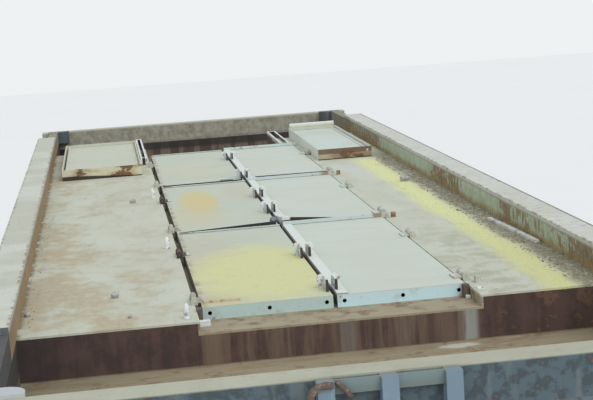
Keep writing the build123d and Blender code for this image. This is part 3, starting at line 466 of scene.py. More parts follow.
# Hopper body: welded and riveted sheet in a pale blue-grey paint that has gone chalky. Dirty water
# and rust run down from the rims and stakes, and the lower edges of the slopes have rusted through
# the paint. The end posts and ladders wear the same paint, less weathered.
blue_grey = (0.27, 0.33, 0.36)
body_coat = weathered("body_paint", blue_grey, 0.62, 0.22, 0.6, 0.55, 0.5)
high = body_coat.z.rise(2.6, 3.5)
low = body_coat.z.rise(2.0, 1.25)
soot = body_coat.clouds(0.09, 4.0, 0.6, (1.0, 1.0, 9.0), start=6.0).rise(0.42, 0.66)
body_coat.over(soot * (high * 0.35 + 0.12), (0.10, 0.095, 0.085), 0.9)
body_coat.over(body_coat.clouds(0.06, 6.0, 0.66).rise(0.62, 0.66) * low * 0.9, rust_brown, 0.92)
body_coat.over(body_coat.clouds(0.35, 4.0, start=4.4).rise(0.46, 0.66) * low * 0.6, (0.3, 0.24, 0.18), 0.95)
sheet_inside = body_coat.x.size().rise(1.1165, 1.1135) * body_coat.y.size().rise(3.909, 3.905)
sheet_inside = sheet_inside * body_coat.z.rise(3.147, 3.152)
caking = (soot * 0.4 + body_coat.clouds(0.12, 5.0, start=3.0) * 0.6).rise(0.4, 0.62)
body_coat.over(sheet_inside, body_coat.blend(caking, (0.155, 0.12, 0.085), (0.075, 0.055, 0.042)), 0.92)
# Painted shadow: a near-black band at the top of the sheets' inner faces, under the end rims.
body_coat.over(sheet_inside * body_coat.z.rise(3.345, 3.375) * 0.85, (0.022, 0.022, 0.024), 0.92)
body_paint = body_coat.done()
dress(["side_sheets", "side_slopes", "side_stakes", "side_gussets", "end_slopes", "end_sheets"], body_paint)
post_coat = weathered("post_paint", (0.17, 0.25, 0.31), 0.6, 0.2, 0.5, 0.45, 0.22)
chip = post_coat.clouds(0.035, 6.0, 0.7, start=5.0).rise(0.57, 0.6)
post_coat.over(chip * 0.6, (0.06, 0.085, 0.10), 0.8)
post_paint = post_coat.done()
dress(["body_posts"], post_paint)
stile_coat = weathered("ladder_paint", (0.165, 0.235, 0.295), 0.6, 0.15, 0.4, 0.35, 0.2)
between = (stile_coat.x - 0.018).size().rise(0.024, 0.027) * (stile_coat.x - 0.018).size().rise(0.166, 0.163)
stile_coat.over(between * stile_coat.z.rise(3.5, 3.512),
    stile_coat.blend(stile_coat.z.rise(3.515, 3.55), (0.13, 0.165, 0.155), (0.155, 0.21, 0.21)), 0.75)
dress(["end_ladders"], stile_coat.done())

# Outlets: unpainted sheet chutes and a folded ridge, scoured by the load inside and brown outside,
# over flat frames with hinged doors.
scoured = weathered("outlet_rust", (0.17, 0.10, 0.06), 0.85, 0.55, 0.4, 0.3, 0.22)
scoured.over(scoured.clouds(0.04, 5.0, 0.65).rise(0.48, 0.62) * 0.5, rust_orange, 0.95)
outlet_rust = scoured.done()
dress(["outlet_chutes", "outlet_frames", "hopper_ridge", "front_outer_door", "front_inner_door",
       "rear_inner_door", "rear_outer_door"], outlet_rust)

# Side rims: wide folded channels that wear most of all. Their tops are pale chalky grey-green, in parts
# scraped. Inside, the paint has come off in flakes over a golden brown, and outside dirt runs down.
inner_wall, rim_outer, rim_level = 1.110, 1.239, 3.600
rim = Finish("rim_paint", (0.50, 0.52, 0.45), 0.66)
wide = rim.clouds(0.55, 3.0, 0.5, (1.0, 0.6, 1.0))
spots = rim.clouds(0.045, 6.0, 0.68, start=2.2)
specks = rim.clouds(0.008, 4.0, 0.7, start=8.1)
drawn = rim.clouds(0.10, 4.0, 0.6, (1.0, 0.25, 1.0), start=5.5)
rim.over(wide.rise(0.4, 0.6) * 0.5, (0.6, 0.62, 0.56))
rim.over(wide.rise(0.62, 0.42) * 0.35, (0.4, 0.4, 0.31))
right_side = rim.x.rise(-0.1, 0.1)
rim.over(right_side * 0.7, rim.blend(spots.rise(0.42, 0.6), (0.57, 0.58, 0.54), (0.5, 0.505, 0.455)))
lower = rim.z.rise(rim_level - 0.012, rim_level - 0.03)
inside = rim.x.size().rise(rim_outer - 0.05, inner_wall + 0.03) * lower
outside = lower * (1 - inside)
gold = rim.blend(drawn.rise(0.42, 0.62), (0.33, 0.225, 0.12), (0.22, 0.155, 0.09))
flake = (spots * 0.6 + drawn * 0.4).rise(0.47, 0.52)
rim.over(inside, gold, 0.9)
rim.over(inside * flake * (1 - right_side) * 0.3, (0.40, 0.33, 0.22), 0.85)
still_painted = rim.y.within(0.16, 1.75, 0.12).most(rim.y.within(-1.3, -0.5, 0.12))
still_painted = still_painted.most(rim.y.within(-2.3, -1.5, 0.2) * 0.55)
pale_flake = (spots * 0.5 + drawn * 0.5 + still_painted * 0.15).rise(0.535, 0.575)
bare = rim.blend(spots.rise(0.42, 0.62), (0.27, 0.205, 0.12), (0.155, 0.115, 0.07))
rim.over(inside * right_side * 0.8, bare, 0.9)
pale = rim.blend(drawn.rise(0.4, 0.6), (0.52, 0.64, 0.49), (0.4, 0.47, 0.35))
rim.over(inside * right_side * pale_flake * 0.85, pale, 0.75)
foot = rim.z.rise(rim_level - 0.075, rim_level - 0.105)
rim.over(inside * foot * drawn.rise(0.36, 0.5) * 0.8, (0.36, 0.235, 0.075), 0.92)
# Painted shade: a dark line along the right rim's outer edge stands for its shaded outer side.
rim.over(right_side * rim.x.rise(1.226, 1.232) * 0.8, (0.1, 0.11, 0.11))
rim.over(rim.part(rim.facing, "Y").size().rise(0.7, 0.9) * 0.85, (0.045, 0.05, 0.055), 0.8)
rim.over(outside * 0.75, blue_grey)
grime = rim.clouds(0.07, 4.0, 0.6, (1.0, 1.0, 10.0), start=2.9)
rim.over(outside * grime.rise(0.42, 0.66) * 0.65, (0.13, 0.12, 0.1), 0.9)
scrape = spots.rise(0.655, 0.675)
rim.over(scrape * 0.8, rim.blend(specks.rise(0.4, 0.6), rust_dark, rust_orange), 0.9)
worn_edge = rim.z.rise(rim_level - 0.006, rim_level - 0.001) * spots.rise(0.5, 0.56)
edge_x = (rim.x.size() - inner_wall).size().rise(0.014, 0.004)
edge_x = edge_x.most((rim.x.size() - rim_outer).size().rise(0.014, 0.004))
rim.over(edge_x * worn_edge * 0.7, (0.20, 0.12, 0.07), 0.85)
rim.over(specks.rise(0.6, 0.68) * 0.25, (0.16, 0.14, 0.11))
rim.raise_by(specks, 0.0004)
rim.raise_by(flake, 0.0010)
rim_paint = rim.done()
dress(["side_rims"], rim_paint)

# End rims: channels across both ends with blocks in their inner corners. Scuffed pale grey on top,
# brown and olive grime on the inner faces with painted shade low down, and outside the blue-grey paint
# darkened to slate by painted shade.
end_outer, end_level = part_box("end_rims")[1][1:]
end_inner = end_outer - 0.105
end_rim = Finish("end_rim_paint", (0.37, 0.375, 0.285), 0.66)
spots = end_rim.clouds(0.05, 6.0, 0.66, start=1.2)
streaks = end_rim.clouds(0.06, 4.0, 0.6, (1.0, 1.0, 8.0), start=4.2)
bands = end_rim.clouds(0.5, 3.0, start=0.7)
fine = end_rim.clouds(0.009, 4.0, 0.7, start=3.3)
top = end_rim.z.rise(end_level - 0.012, end_level - 0.003)
end_rim.over(top * bands.rise(0.42, 0.6) * 0.5, (0.45, 0.46, 0.38))
end_rim.over(top * spots.rise(0.54, 0.62) * 0.35, (0.31, 0.29, 0.22))
end_rim.over(top * spots.rise(0.67, 0.7) * 0.7, rust_brown, 0.9)
inner_face = end_rim.y.size().rise(end_inner + 0.012, end_inner + 0.003) * (1 - top)
outer_face = end_rim.y.size().rise(end_outer - 0.012, end_outer - 0.003) * (1 - top)
olive = end_rim.blend(spots.rise(0.36, 0.66), (0.33, 0.335, 0.275), (0.225, 0.2, 0.155))
end_rim.over(inner_face, olive, 0.9)
end_rim.over(inner_face * streaks.rise(0.52, 0.66) * 0.6, (0.3, 0.3, 0.25), 0.9)
# Painted shade: the inner faces turn dark brown towards their lower edge.
end_rim.over(inner_face * end_rim.z.rise(end_level - 0.1, end_level - 0.17) * 0.6, (0.1, 0.075, 0.06), 0.9)
# Painted shade: the outer faces are the body's blue-grey darkened to slate.
slate = end_rim.blend(spots.rise(0.46, 0.56), (0.065, 0.1, 0.115), (0.038, 0.056, 0.064))
end_rim.over(outer_face, slate, 0.6)
end_rim.over(outer_face * streaks.rise(0.56, 0.68) * 0.45, (0.15, 0.165, 0.16), 0.85)
end_rim.over(outer_face * spots.rise(0.635, 0.66) * 0.8, rust_brown, 0.9)
end_rim.over(fine.rise(0.62, 0.7) * 0.3, (0.12, 0.11, 0.09))
end_rim.raise_by(fine, 0.0005)
end_rim.raise_by(spots, 0.0012)
dress(["end_rims"], end_rim.done())
rail = weathered("rim_rail_paint", (0.22, 0.22, 0.18), 0.75, 0.55, 0.3, 0.3, 0.12)
rail.over(rail.y.rise(-2.8, -3.2) * 0.85, (0.045, 0.05, 0.062), 0.8)
dress(["rim_rails"], rail.done())
slate = weathered("corner_block_paint", (0.075, 0.095, 0.105), 0.6, 0.35, 0.45, 0.3, 0.14)
slate.over(slate.x.rise(0.0, -0.5) * slate.y.rise(0.0, -0.5) * 0.85, (0.5, 0.54, 0.55), 0.7)
dress(["corner_blocks"], slate.done())

# Roof deck, wells and channel: flat steel sheet between the rims, welded at its seams. Worn grey paint
# trodden through to rust in patches, brown dirt washed into the wells and streaked down their faces.
# A band of yellow powder spilt from the load lies along the right side, with caked grit beyond it.
deck_level, well_level, ledge_level = 3.488, 3.314, 3.443
channel_left, channel_right = -0.450, 0.600
deck = Finish("deck_paint", (0.50, 0.52, 0.43), 0.78)
broad = deck.clouds(0.5, 3.0)
middle = deck.clouds(0.09, 6.0, 0.66, start=2.4)
drift = deck.clouds(0.20, 5.0, 0.62, (1.0, 2.6, 1.0), start=6.4)
fine = deck.clouds(0.010, 5.0, 0.7, start=9.1)
grit = deck.clouds(0.022, 5.0, 0.72, start=4.9)
deck.over(broad.rise(0.38, 0.62) * 0.45, (0.55, 0.585, 0.52))
deck.over(drift.rise(0.42, 0.68) * 0.45, (0.44, 0.445, 0.355))
deck.over(middle.rise(0.5, 0.7) * 0.3, (0.565, 0.59, 0.52))
on_left = deck.x.rise(-0.2, -0.4)
near_end = deck.y.rise(-0.6, -2.5)
to_rim = deck.x.rise(-0.55, -1.08)
patchy = drift * 0.5 + middle * 0.5
rusty = (patchy + to_rim * 0.07 + near_end * 0.04).rise(0.52, 0.68)
deck.over(on_left * patchy.rise(0.38, 0.62) * 0.6 * (to_rim * 0.6 + 0.4), (0.455, 0.43, 0.315))
rust_tone = deck.blend(grit.rise(0.42, 0.6), (0.43, 0.36, 0.235), (0.36, 0.27, 0.16))
deck.over(on_left * rusty * 0.6, rust_tone, 0.92)
gutter = deck.x.size().rise(1.085, 1.108)
deck.over(gutter * middle.rise(0.36, 0.52) * 0.75, (0.14, 0.11, 0.075), 0.95)
on_right = 1 - on_left
deck.over(on_right * patchy.rise(0.5, 0.62) * 0.5, (0.4, 0.42, 0.33))
deck.over(on_right * near_end * middle.rise(0.44, 0.6) * 0.5, (0.3, 0.31, 0.22))
wander = deck.clouds(0.35, 4.0, 0.6, (1.0, 1.4, 1.0), start=7.3) - 0.5
band_left = 0.862 + wander * 0.10
band_right = 0.978 + wander * 0.12
powder = (deck.x - band_left).rise(-0.055, 0.045) * (deck.x - band_right).rise(0.05, -0.03)
powder_end = (deck.y + wander * 0.5).rise(1.45, 1.15)
worn_through = (middle * 0.6 + grit * 0.4).rise(0.24, 0.42)
powder_tone = deck.blend(near_end, (0.67, 0.7, 0.36), (0.59, 0.6, 0.29))
deck.over(powder * powder_end * worn_through * 0.94, powder_tone, 0.95)
deck.over(powder * powder_end * fine.rise(0.46, 0.62) * 0.45, (0.46, 0.44, 0.22), 0.95)
caked = (deck.x - band_right).rise(-0.01, 0.05) * (deck.y + wander * 0.6).rise(1.9, 1.3)
grit_tone = deck.blend(fine.rise(0.42, 0.6), (0.27, 0.245, 0.155), (0.15, 0.125, 0.08))
deck.over(caked * grit.rise(0.36, 0.5) * 0.85, grit_tone, 0.97)
deck.over(caked * grit.rise(0.55, 0.62) * 0.55, (0.44, 0.44, 0.26), 0.97)
specks = fine.rise(0.63, 0.68)
deck.over(specks * 0.5, (0.17, 0.13, 0.085), 0.92)
deck.over(deck.z.rise(deck_level + 0.002, deck_level + 0.004) * deck.y.rise(-2.5, -2.3),
    deck.blend(grit.rise(0.42, 0.6), (0.36, 0.2, 0.1), (0.17, 0.085, 0.045)), 0.92)
scuffs = deck.clouds(0.03, 4.0, 0.6, (1.0, 7.0, 1.0), start=3.7)
deck.over(scuffs.rise(0.6, 0.7) * 0.3, (0.33, 0.32, 0.26))
deck.raise_by(powder * powder_end * worn_through, 0.004)
deck.raise_by(caked * grit, 0.010)
deck.raise_by(fine, 0.0007)
deck.raise_by(rusty * on_left, 0.0009)
dress(["deck_left", "deck_right"], deck.done())

channel = Finish("channel_dirt", (0.31, 0.27, 0.185), 0.9)
middle = channel.clouds(0.07, 6.0, 0.66)
washed = channel.clouds(0.04, 4.0, 0.6, (6.0, 1.0, 1.0), start=3.0)
fine = channel.clouds(0.009, 4.0, 0.7, start=5.0)
channel.over(washed.rise(0.44, 0.62) * 0.5, (0.37, 0.33, 0.24))
channel.over(middle.rise(0.5, 0.6) * 0.6, (0.19, 0.135, 0.085))
channel.over(middle.rise(0.62, 0.66) * 0.7, rust_brown)
below = channel.z.rise(ledge_level - 0.009, ledge_level - 0.02)
channel.over(below * 0.85, (0.085, 0.055, 0.04), 0.9)
channel.raise_by(middle, 0.002)
channel.raise_by(fine, 0.0006)
channel_dirt = channel.done()
dress(["hatch_channel"], channel_dirt)
hidden = weathered("roof_beam_primer", (0.16, 0.09, 0.065), 0.85, 0.6, 0.5, patch_size=0.3).done()
dress(["roof_beams"], hidden)

well = Finish("well_rust", (0.30, 0.255, 0.17), 0.92)
middle = well.clouds(0.08, 6.0, 0.66)
washed = well.clouds(0.05, 5.0, 0.62, (5.0, 1.0, 1.0), start=2.6)
runs = well.clouds(0.035, 5.0, 0.62, (1.0, 1.0, 14.0), start=5.1)
wide_runs = well.clouds(0.12, 3.0, 0.5, (1.0, 1.0, 20.0), start=8.6)
fine = well.clouds(0.010, 4.0, 0.7, start=3.3)
well.over(washed.rise(0.46, 0.6) * 0.6, (0.22, 0.165, 0.1))
well.over(washed.rise(0.58, 0.68) * 0.5, (0.42, 0.38, 0.27))
well.over(middle.rise(0.54, 0.62) * 0.6, (0.17, 0.105, 0.06))
well.over(well.x.rise(-0.5, -0.9) * 0.3, (0.18, 0.15, 0.1))
face = well.z.rise(well_level + 0.004, well_level + 0.012)
maroon = well.blend((runs * 0.4 + middle * 0.6).rise(0.42, 0.6), (0.085, 0.05, 0.042), (0.05, 0.032, 0.028))
well.over(face, maroon, 0.88)
within_channel = well.x.within(channel_left, channel_right, 0.006)
well.over(face * within_channel * runs.rise(0.4, 0.58) * 0.75, (0.155, 0.105, 0.075), 0.9)
well.over(face * within_channel * wide_runs.rise(0.55, 0.63) * 0.2, (0.27, 0.235, 0.175), 0.9)
grey_run = (well.x - 0.095 + (runs - 0.5) * 0.04).size().rise(0.04, 0.015)
well.over(face * grey_run * 0.4, (0.22, 0.215, 0.19), 0.9)
tan_run = (well.x + 0.4 + (runs - 0.5) * 0.05).size().rise(0.04, 0.01)
well.over(face * tan_run * 0.35, (0.22, 0.165, 0.105), 0.9)
well.over(face * well.x.rise(-0.85, -1.09) * 0.6, (0.03, 0.026, 0.03), 0.9)
pale_run = (well.x - 0.557 + (runs - 0.5) * 0.04).size().rise(0.036, 0.014)
front = well.y.rise(0.0, -1.0)
well.over(face * pale_run * front * runs.rise(0.3, 0.5) * 0.75, (0.31, 0.34, 0.32), 0.85)
orange = (middle * 0.6 + wide_runs * 0.4).rise(0.53, 0.57) * well.x.rise(0.62, 0.7)
well.over(face * orange * front * 0.4, (0.21, 0.12, 0.06), 0.92)
stain_x, stain_y = (well.x - 0.50) / 0.085, (well.y + 2.905) / 0.036
stain = (stain_x * stain_x + stain_y * stain_y + (middle - 0.5) * 3.0).rise(1.1, 0.3)
well.over(stain * (1 - face) * 0.65, (0.60, 0.62, 0.57), 0.8)
# Painted shade: the floor of the rear well is darkened, as it lies deep in shade.
rear = 1 - front
well.over(rear * (1 - face) * 0.75, well.blend(middle.rise(0.42, 0.6), (0.085, 0.05, 0.04),
    (0.15, 0.09, 0.06)), 0.92)
well.raise_by(middle, 0.0025)
well.raise_by(fine, 0.0007)
well.raise_by(runs * face, 0.0012)
dress(["end_wells"], well.done())

# Corner hatches: a folded frame on each side of the rear, round a flat cover that hinges on its outer
# edge. Painted pale, with tan wear and rust on the near bars and a painted shadow where they meet the deck.
tray = Finish("hatch_frame_paint", (0.52, 0.535, 0.44), 0.7)
patches = tray.clouds(0.07, 6.0, 0.66, start=1.6)
along = tray.clouds(0.11, 4.0, 0.6, (2.2, 1.0, 1.0), start=8.0)
fine = tray.clouds(0.009, 4.0, 0.7, start=4.0)
to_right = tray.x.rise(0.2, 0.4)
tray.over(patches.rise(0.42, 0.62) * 0.35, (0.44, 0.44, 0.34))
front = tray.y.rise(1.4, 1.384)
tray.over(front, tray.blend(along.rise(0.44, 0.58), (0.56, 0.54, 0.4), (0.42, 0.36, 0.2)), 0.85)
tan = tray.blend(along.rise(0.42, 0.56), (0.4, 0.33, 0.215), (0.24, 0.17, 0.105))
tray.over(front * to_right * 0.85, tan, 0.9)
bar_top = tray.z.rise(deck_level + 0.034, deck_level + 0.04)
tray.over(front * to_right * bar_top * 0.85, (0.13, 0.085, 0.06), 0.9)
rust_runs = (along * 0.7 + patches * 0.3 - to_right * 0.07).rise(0.52, 0.55)
tray.over(front * rust_runs * 0.9, tray.blend(fine.rise(0.4, 0.6), rust_dark, rust_brown), 0.92)
# Painted shadow: a near-black band along the foot of the near bars, taller to the left.
shadow_gap_height = tray.x.rise(-0.52, -1.0) * 0.02 + 0.007
painted_shadow_below = (tray.z - deck_level - shadow_gap_height).rise(0.003, -0.003)
tray.over(front * painted_shadow_below * 0.95, (0.018, 0.016, 0.014), 0.95)
tray.over(tray.z.rise(deck_level + 0.022, deck_level + 0.004) * (1 - front) * 0.5, (0.16, 0.13, 0.09), 0.95)
tray.over(tray.y.rise(2.861, 2.864) * to_right, (0.62, 0.67, 0.66), 0.6)
tray.over(to_right * tray.part(tray.facing, "X").rise(-0.6, -0.8) * 0.85, (0.66, 0.71, 0.66))
tray.over(patches.rise(0.63, 0.66) * (1 - front) * 0.7, rust_brown, 0.92)
tray.raise_by(fine, 0.0005)
tray.raise_by(patches, 0.0012)
dress(["corner_hatch_frames"], tray.done())
cover = Finish("cover_paint", (0.50, 0.53, 0.435), 0.78)
broad = cover.clouds(0.4, 4.0, 0.6, start=3.0)
middle = cover.clouds(0.08, 6.0, 0.66, start=6.6)
fine = cover.clouds(0.010, 4.0, 0.7)
cover.over(cover.x.rise(0.2, 0.4) * 0.9, (0.53, 0.6, 0.56))
cover.over(broad.rise(0.42, 0.62) * 0.45, (0.46, 0.47, 0.38))
cover.over(middle.rise(0.52, 0.66) * 0.4, (0.58, 0.61, 0.55))
cover.over(middle.rise(0.655, 0.68) * 0.6, (0.36, 0.25, 0.14), 0.92)
cover.over(fine.rise(0.62, 0.68) * 0.3, (0.22, 0.18, 0.12))
cover.raise_by(fine, 0.0006)
dress(["corner_cover_left", "corner_cover_right"], cover.done())

# Guide bars: flat bars welded on edge in pairs beside the pit, white on top, with painted shade on the faces
# inside the slot between them.
guide = Finish("guide_paint", (0.70, 0.74, 0.72), 0.6)
chips = guide.clouds(0.03, 6.0, 0.68)
left_slot = (guide.x + 0.49).size().rise(0.0115, 0.0095)
right_slot = (guide.x - 0.537).size().rise(0.0225, 0.0205)
# Painted shade: the faces inside the slot between each pair of bars are made near-black.
guide.over(left_slot.most(right_slot) * guide.up.rise(0.7, 0.4), (0.03, 0.028, 0.025), 0.95)
guide.over(chips.rise(0.56, 0.6) * 0.7, rust_brown, 0.92)
guide.over(guide.z.rise(deck_level + 0.016, deck_level + 0.004) * 0.6, (0.14, 0.1, 0.07), 0.95)
guide.raise_by(chips, 0.0008)
dress(["guide_bars"], guide.done())

# Loading lids: six folded pans that fill the channel in three rows. Chalky pale paint on top with
# yellow powder and orange stains, bluer paint on the folded edges, white bars, strips and lugs.
def bare_pairs(coat):
    """One at the two hinges on the left whose paint is gone."""
    first, second = ((coat.y - y).size().rise(0.12, 0.1) for y in (-1.556, 0.107))
    return first.most(second) * coat.x.rise(-0.38, -0.42)


lid_level = 3.4933
seam_left, seam_middle = 0.074, 0.082
row_start, row_pitch, row_gap = -2.670, 1.663, 0.008
lid = Finish("lid_paint", (0.475, 0.515, 0.435), 0.74)
broad = lid.clouds(0.45, 3.0, 0.55, start=2.0)
across = lid.clouds(0.12, 5.0, 0.6, (3.5, 1.0, 1.0), start=4.4)
middle = lid.clouds(0.07, 6.0, 0.66, start=7.2)
fine = lid.clouds(0.009, 5.0, 0.7, start=5.9)
on_right = lid.x.rise(0.078, 0.086)
lid.over(on_right * 0.95, (0.525, 0.57, 0.505))
lid.over(broad.rise(0.4, 0.62) * 0.4, lid.blend(on_right, (0.515, 0.545, 0.475), (0.555, 0.61, 0.555)))
lid.over(across.rise(0.48, 0.66) * 0.35, lid.blend(on_right, (0.455, 0.455, 0.36), (0.485, 0.51, 0.44)))
lid.over(middle.rise(0.56, 0.68) * 0.3, (0.575, 0.595, 0.525))
stain_table = [
    # x, y, reach along x, reach along y, strength, colour
    (-0.34, -1.60, 0.17, 0.50, 0.60, (0.49, 0.455, 0.35)),
    (-0.30, -2.52, 0.30, 0.16, 0.55, (0.50, 0.455, 0.30)),
    (0.00, 0.30, 0.10, 0.30, 0.40, (0.49, 0.46, 0.37)),
    (-0.25, 0.00, 0.12, 0.46, 0.80, (0.58, 0.49, 0.22)),
    (-0.30, -0.45, 0.16, 0.40, 0.45, (0.54, 0.48, 0.29)),
    (-0.20, 1.35, 0.20, 0.32, 0.30, (0.56, 0.52, 0.36)),
    (-0.36, -2.35, 0.12, 0.60, 0.45, (0.52, 0.48, 0.27)),
]
for x, y, reach_x, reach_y, strength, colour in stain_table:
    far_x, far_y = (lid.x - x) / reach_x, (lid.y - y) / reach_y
    spread = far_x * far_x + far_y * far_y + (across - 0.5) * 1.4 + (middle - 0.5) * 1.2
    lid.over(spread.rise(1.35, 0.15) * strength * lid.up.rise(0.7, 0.9), colour, 0.9)
flat = lid.up.rise(0.7, 0.95)
powder_x, powder_y = (lid.x + 0.11) / 0.34, (lid.y + 2.08) / 0.62
powder = powder_x * powder_x + powder_y * powder_y + (across - 0.5) * 1.0 + (middle - 0.5) * 1.2
powder = powder.rise(1.35, 0.3) * lid.x.rise(seam_left + 0.002, seam_left - 0.002)
powder = powder * lid.z.rise(lid_level + 0.01, lid_level + 0.004)
lid.over(powder * flat * 0.9, (0.585, 0.615, 0.335), 0.95)
lid.over(powder * flat * fine.rise(0.42, 0.62) * 0.55, (0.6, 0.55, 0.25), 0.95)
lid.over(powder * flat * fine.rise(0.6, 0.68) * 0.5, (0.68, 0.71, 0.44), 0.95)
lid.over(powder * flat * middle.rise(0.52, 0.64) * 0.5, (0.585, 0.54, 0.27), 0.95)
folded = lid.z.rise(lid_level - 0.001, lid_level - 0.005)
to_front = lid.part(lid.facing, "Y").rise(-0.6, -0.8)
edge_paint = lid.blend(on_right, (0.44, 0.565, 0.545), (0.52, 0.7, 0.74))
lid.over(folded * to_front, edge_paint, 0.6)
lid.over(folded * to_front * middle.rise(0.55, 0.6) * 0.45, (0.4, 0.44, 0.4))
lid.over(folded * to_front * middle.rise(0.64, 0.67) * 0.7, rust_brown, 0.9)
# Partly rust-brown, partly painted shade: the folded edges that do not face the front are darkened.
lid.over(folded * (1 - to_front) * 0.8, (0.13, 0.115, 0.09), 0.9)
proud = lid.z.rise(lid_level + 0.001, lid_level + 0.003)
barred = proud * lid.up.rise(0.7, 0.9)
lid.over(barred * 0.85, (0.66, 0.70, 0.68), 0.6)
row_bar = proud * (lid.x - seam_middle).size().rise(0.055, 0.065)
lid.over(row_bar * flat * 0.8, (0.47, 0.54, 0.52), 0.6)
bar_face = proud * (1 - flat)
# Painted shadow: the side faces of the raised bars are dark along their foot and pale above.
bar_foot_shadow = lid.z.rise(lid_level + 0.003, lid_level + 0.006)
lid.over(bar_face * 0.9, lid.blend(bar_foot_shadow, (0.1, 0.085, 0.07), (0.48, 0.56, 0.56)), 0.7)
at_row = lid.y.within(-1.04, -0.97, 0.005).most(lid.y.within(0.62, 0.7, 0.005))
bar_end = ((lid.x - seam_middle).size() + (middle - 0.5) * 0.1).rise(0.44, 0.47)
lid.over(row_bar * at_row * bar_end * 0.85, (0.26, 0.16, 0.095), 0.9)
lid.over(row_bar * middle.rise(0.58, 0.64) * 0.6, (0.27, 0.19, 0.12), 0.9)
# Partly rust, partly painted shade: the near face of the bent-up corner is dark red-brown, like its shaded
# flange.
bent_face = lid.y.within(-1.004, -0.9965, 0.001) * lid.x.rise(0.078, 0.086)
lid.over(bent_face * lid.z.rise(lid_level - 0.001, lid_level + 0.001), (0.05, 0.026, 0.022), 0.9)
lug_zone = lid.z.rise(lid_level + 0.022, lid_level + 0.024) * lid.x.within(0.03, 0.13, 0.005)
lid.over(lug_zone * 0.9, (0.70, 0.73, 0.71), 0.6)
lid.over(lug_zone * middle.rise(0.5, 0.56) * 0.6, (0.25, 0.16, 0.1), 0.85)
hinge_zone = (lid.x - seam_middle).size().rise(0.497, 0.503)
hinge_tone = lid.blend(middle.rise(0.45, 0.6), (0.5, 0.52, 0.45), (0.36, 0.33, 0.26))
lid.over(hinge_zone * proud * 0.9, hinge_tone, 0.85)
lid.over(hinge_zone * proud * bare_pairs(lid) * 0.95, (0.065, 0.042, 0.034), 0.9)
rim_dirt = (lid.x + 0.426).size().rise(0.03, 0.004) * middle.rise(0.42, 0.6)
lid.over(rim_dirt * flat * 0.6, (0.22, 0.17, 0.10), 0.92)
lid.over(middle.rise(0.665, 0.69) * flat * 0.4, (0.38, 0.3, 0.2))
lid.over(fine.rise(0.64, 0.69) * 0.3, (0.25, 0.22, 0.16))
lid.raise_by(fine, 0.0004)
lid.raise_by(powder * flat, 0.0025)
lid.raise_by(across, 0.0015)
lid_paint = lid.done()
lid_rows, lid_columns = ("near", "middle", "far"), ("left", "right")
dress(["lid_" + row + "_" + column for row in lid_rows for column in lid_columns], lid_paint)

# Hinge brackets: forged cheeks welded to the deck on each side of every knuckle. Two pairs on the
# left are bare and dark brown, and the others have been painted over with the deck.
cheek = weathered("hinge_cheeks", (0.46, 0.47, 0.40), 0.8, 0.25, 0.2, patch_size=0.05)
cheek.over(bare_pairs(cheek), (0.06, 0.036, 0.03), 0.9)
dress(["hinge_brackets"], cheek.done())

# Latches: on each lid's seam edge, a dark pin block before every lug with a white rounded plate
# behind it, both welded to the lid. They are what shows as pairs of slots along the seam.
block_height, plate_height = 0.046, 0.056
latch_white = Finish("latch_white", (0.68, 0.72, 0.71), 0.6)
chips = latch_white.clouds(0.02, 5.0, 0.66)
latch_white.over(chips.rise(0.56, 0.6) * 0.7, (0.24, 0.15, 0.1), 0.85)
latch_white.raise_by(chips, 0.0006)
latch_paint = latch_white.done()
pin_iron = Finish("pin_iron", (0.045, 0.035, 0.032), 0.7)
pin_iron.over(pin_iron.clouds(0.012, 5.0).rise(0.5, 0.62) * 0.6, rust_dark, 0.9)
pin_paint = pin_iron.done()
lug_shares = {"near": (0.07, 0.5), "middle": (0.26, 0.6), "far": (0.09, 0.68)}


def finished(shape):
    """Mesh of a shape, which is freed."""
    mesh = bpy.data.meshes.new("part")
    shape.to_mesh(mesh)
    shape.free()
    return mesh


def skin(rings):
    """Closed solid over rings of points that all have the same count."""
    shape = bmesh.new()
    loops = [[shape.verts.new(point) for point in ring] for ring in rings]
    for lower, upper in zip(loops, loops[1:]):
        for step in range(len(lower)):
            after = (step + 1) % len(lower)
            shape.faces.new((lower[step], lower[after], upper[after], upper[step]))
    shape.faces.new(list(reversed(loops[0])))
    shape.faces.new(loops[-1])
    bmesh.ops.recalc_face_normals(shape, faces=shape.faces)
    return shape


def soften(shape, chamfer):
    """Rounds every edge a little."""
    bmesh.ops.bevel(shape, geom=shape.edges[:], offset=chamfer, segments=2, profile=0.6, affect="EDGES")
    return shape


def bar_mesh(corners, chamfer):
    """Box between two corners with chamfered edges."""
    (x0, y0, z0), (x1, y1, z1) = corners
    foot = ((x0, y0), (x1, y0), (x1, y1), (x0, y1))
    return finished(soften(skin([[(x, y, z) for x, y in foot] for z in (z0, z1)]), chamfer))


def turned_mesh(outline, place, sides=20):
    """Round shape turned about an upright axis from (radius, height) points."""
    turns = [2 * pi * step / sides for step in range(sides)]
    return finished(skin([
        [(place[0] + radius * cos(turn), place[1] + radius * sin(turn), place[2] + height) for turn in turns]
        for radius, height in outline]))


def outline_mesh(outline, y):
    """Solid whose (x, z) outline runs from the first y to the second."""
    return finished(skin([[(px, py, pz) for px, pz in outline] for py in y]))


def round_plate(x, y, z, width, thick, height):
    """Upright plate across the wagon with a round top."""
    half = width / 2
    arc = [(x + half * cos(turn), z + height - half + half * sin(turn))
           for turn in (pi * step / 10 for step in range(11))]
    return outline_mesh([(x - half, z), (x + half, z)] + arc, (y, y + thick))


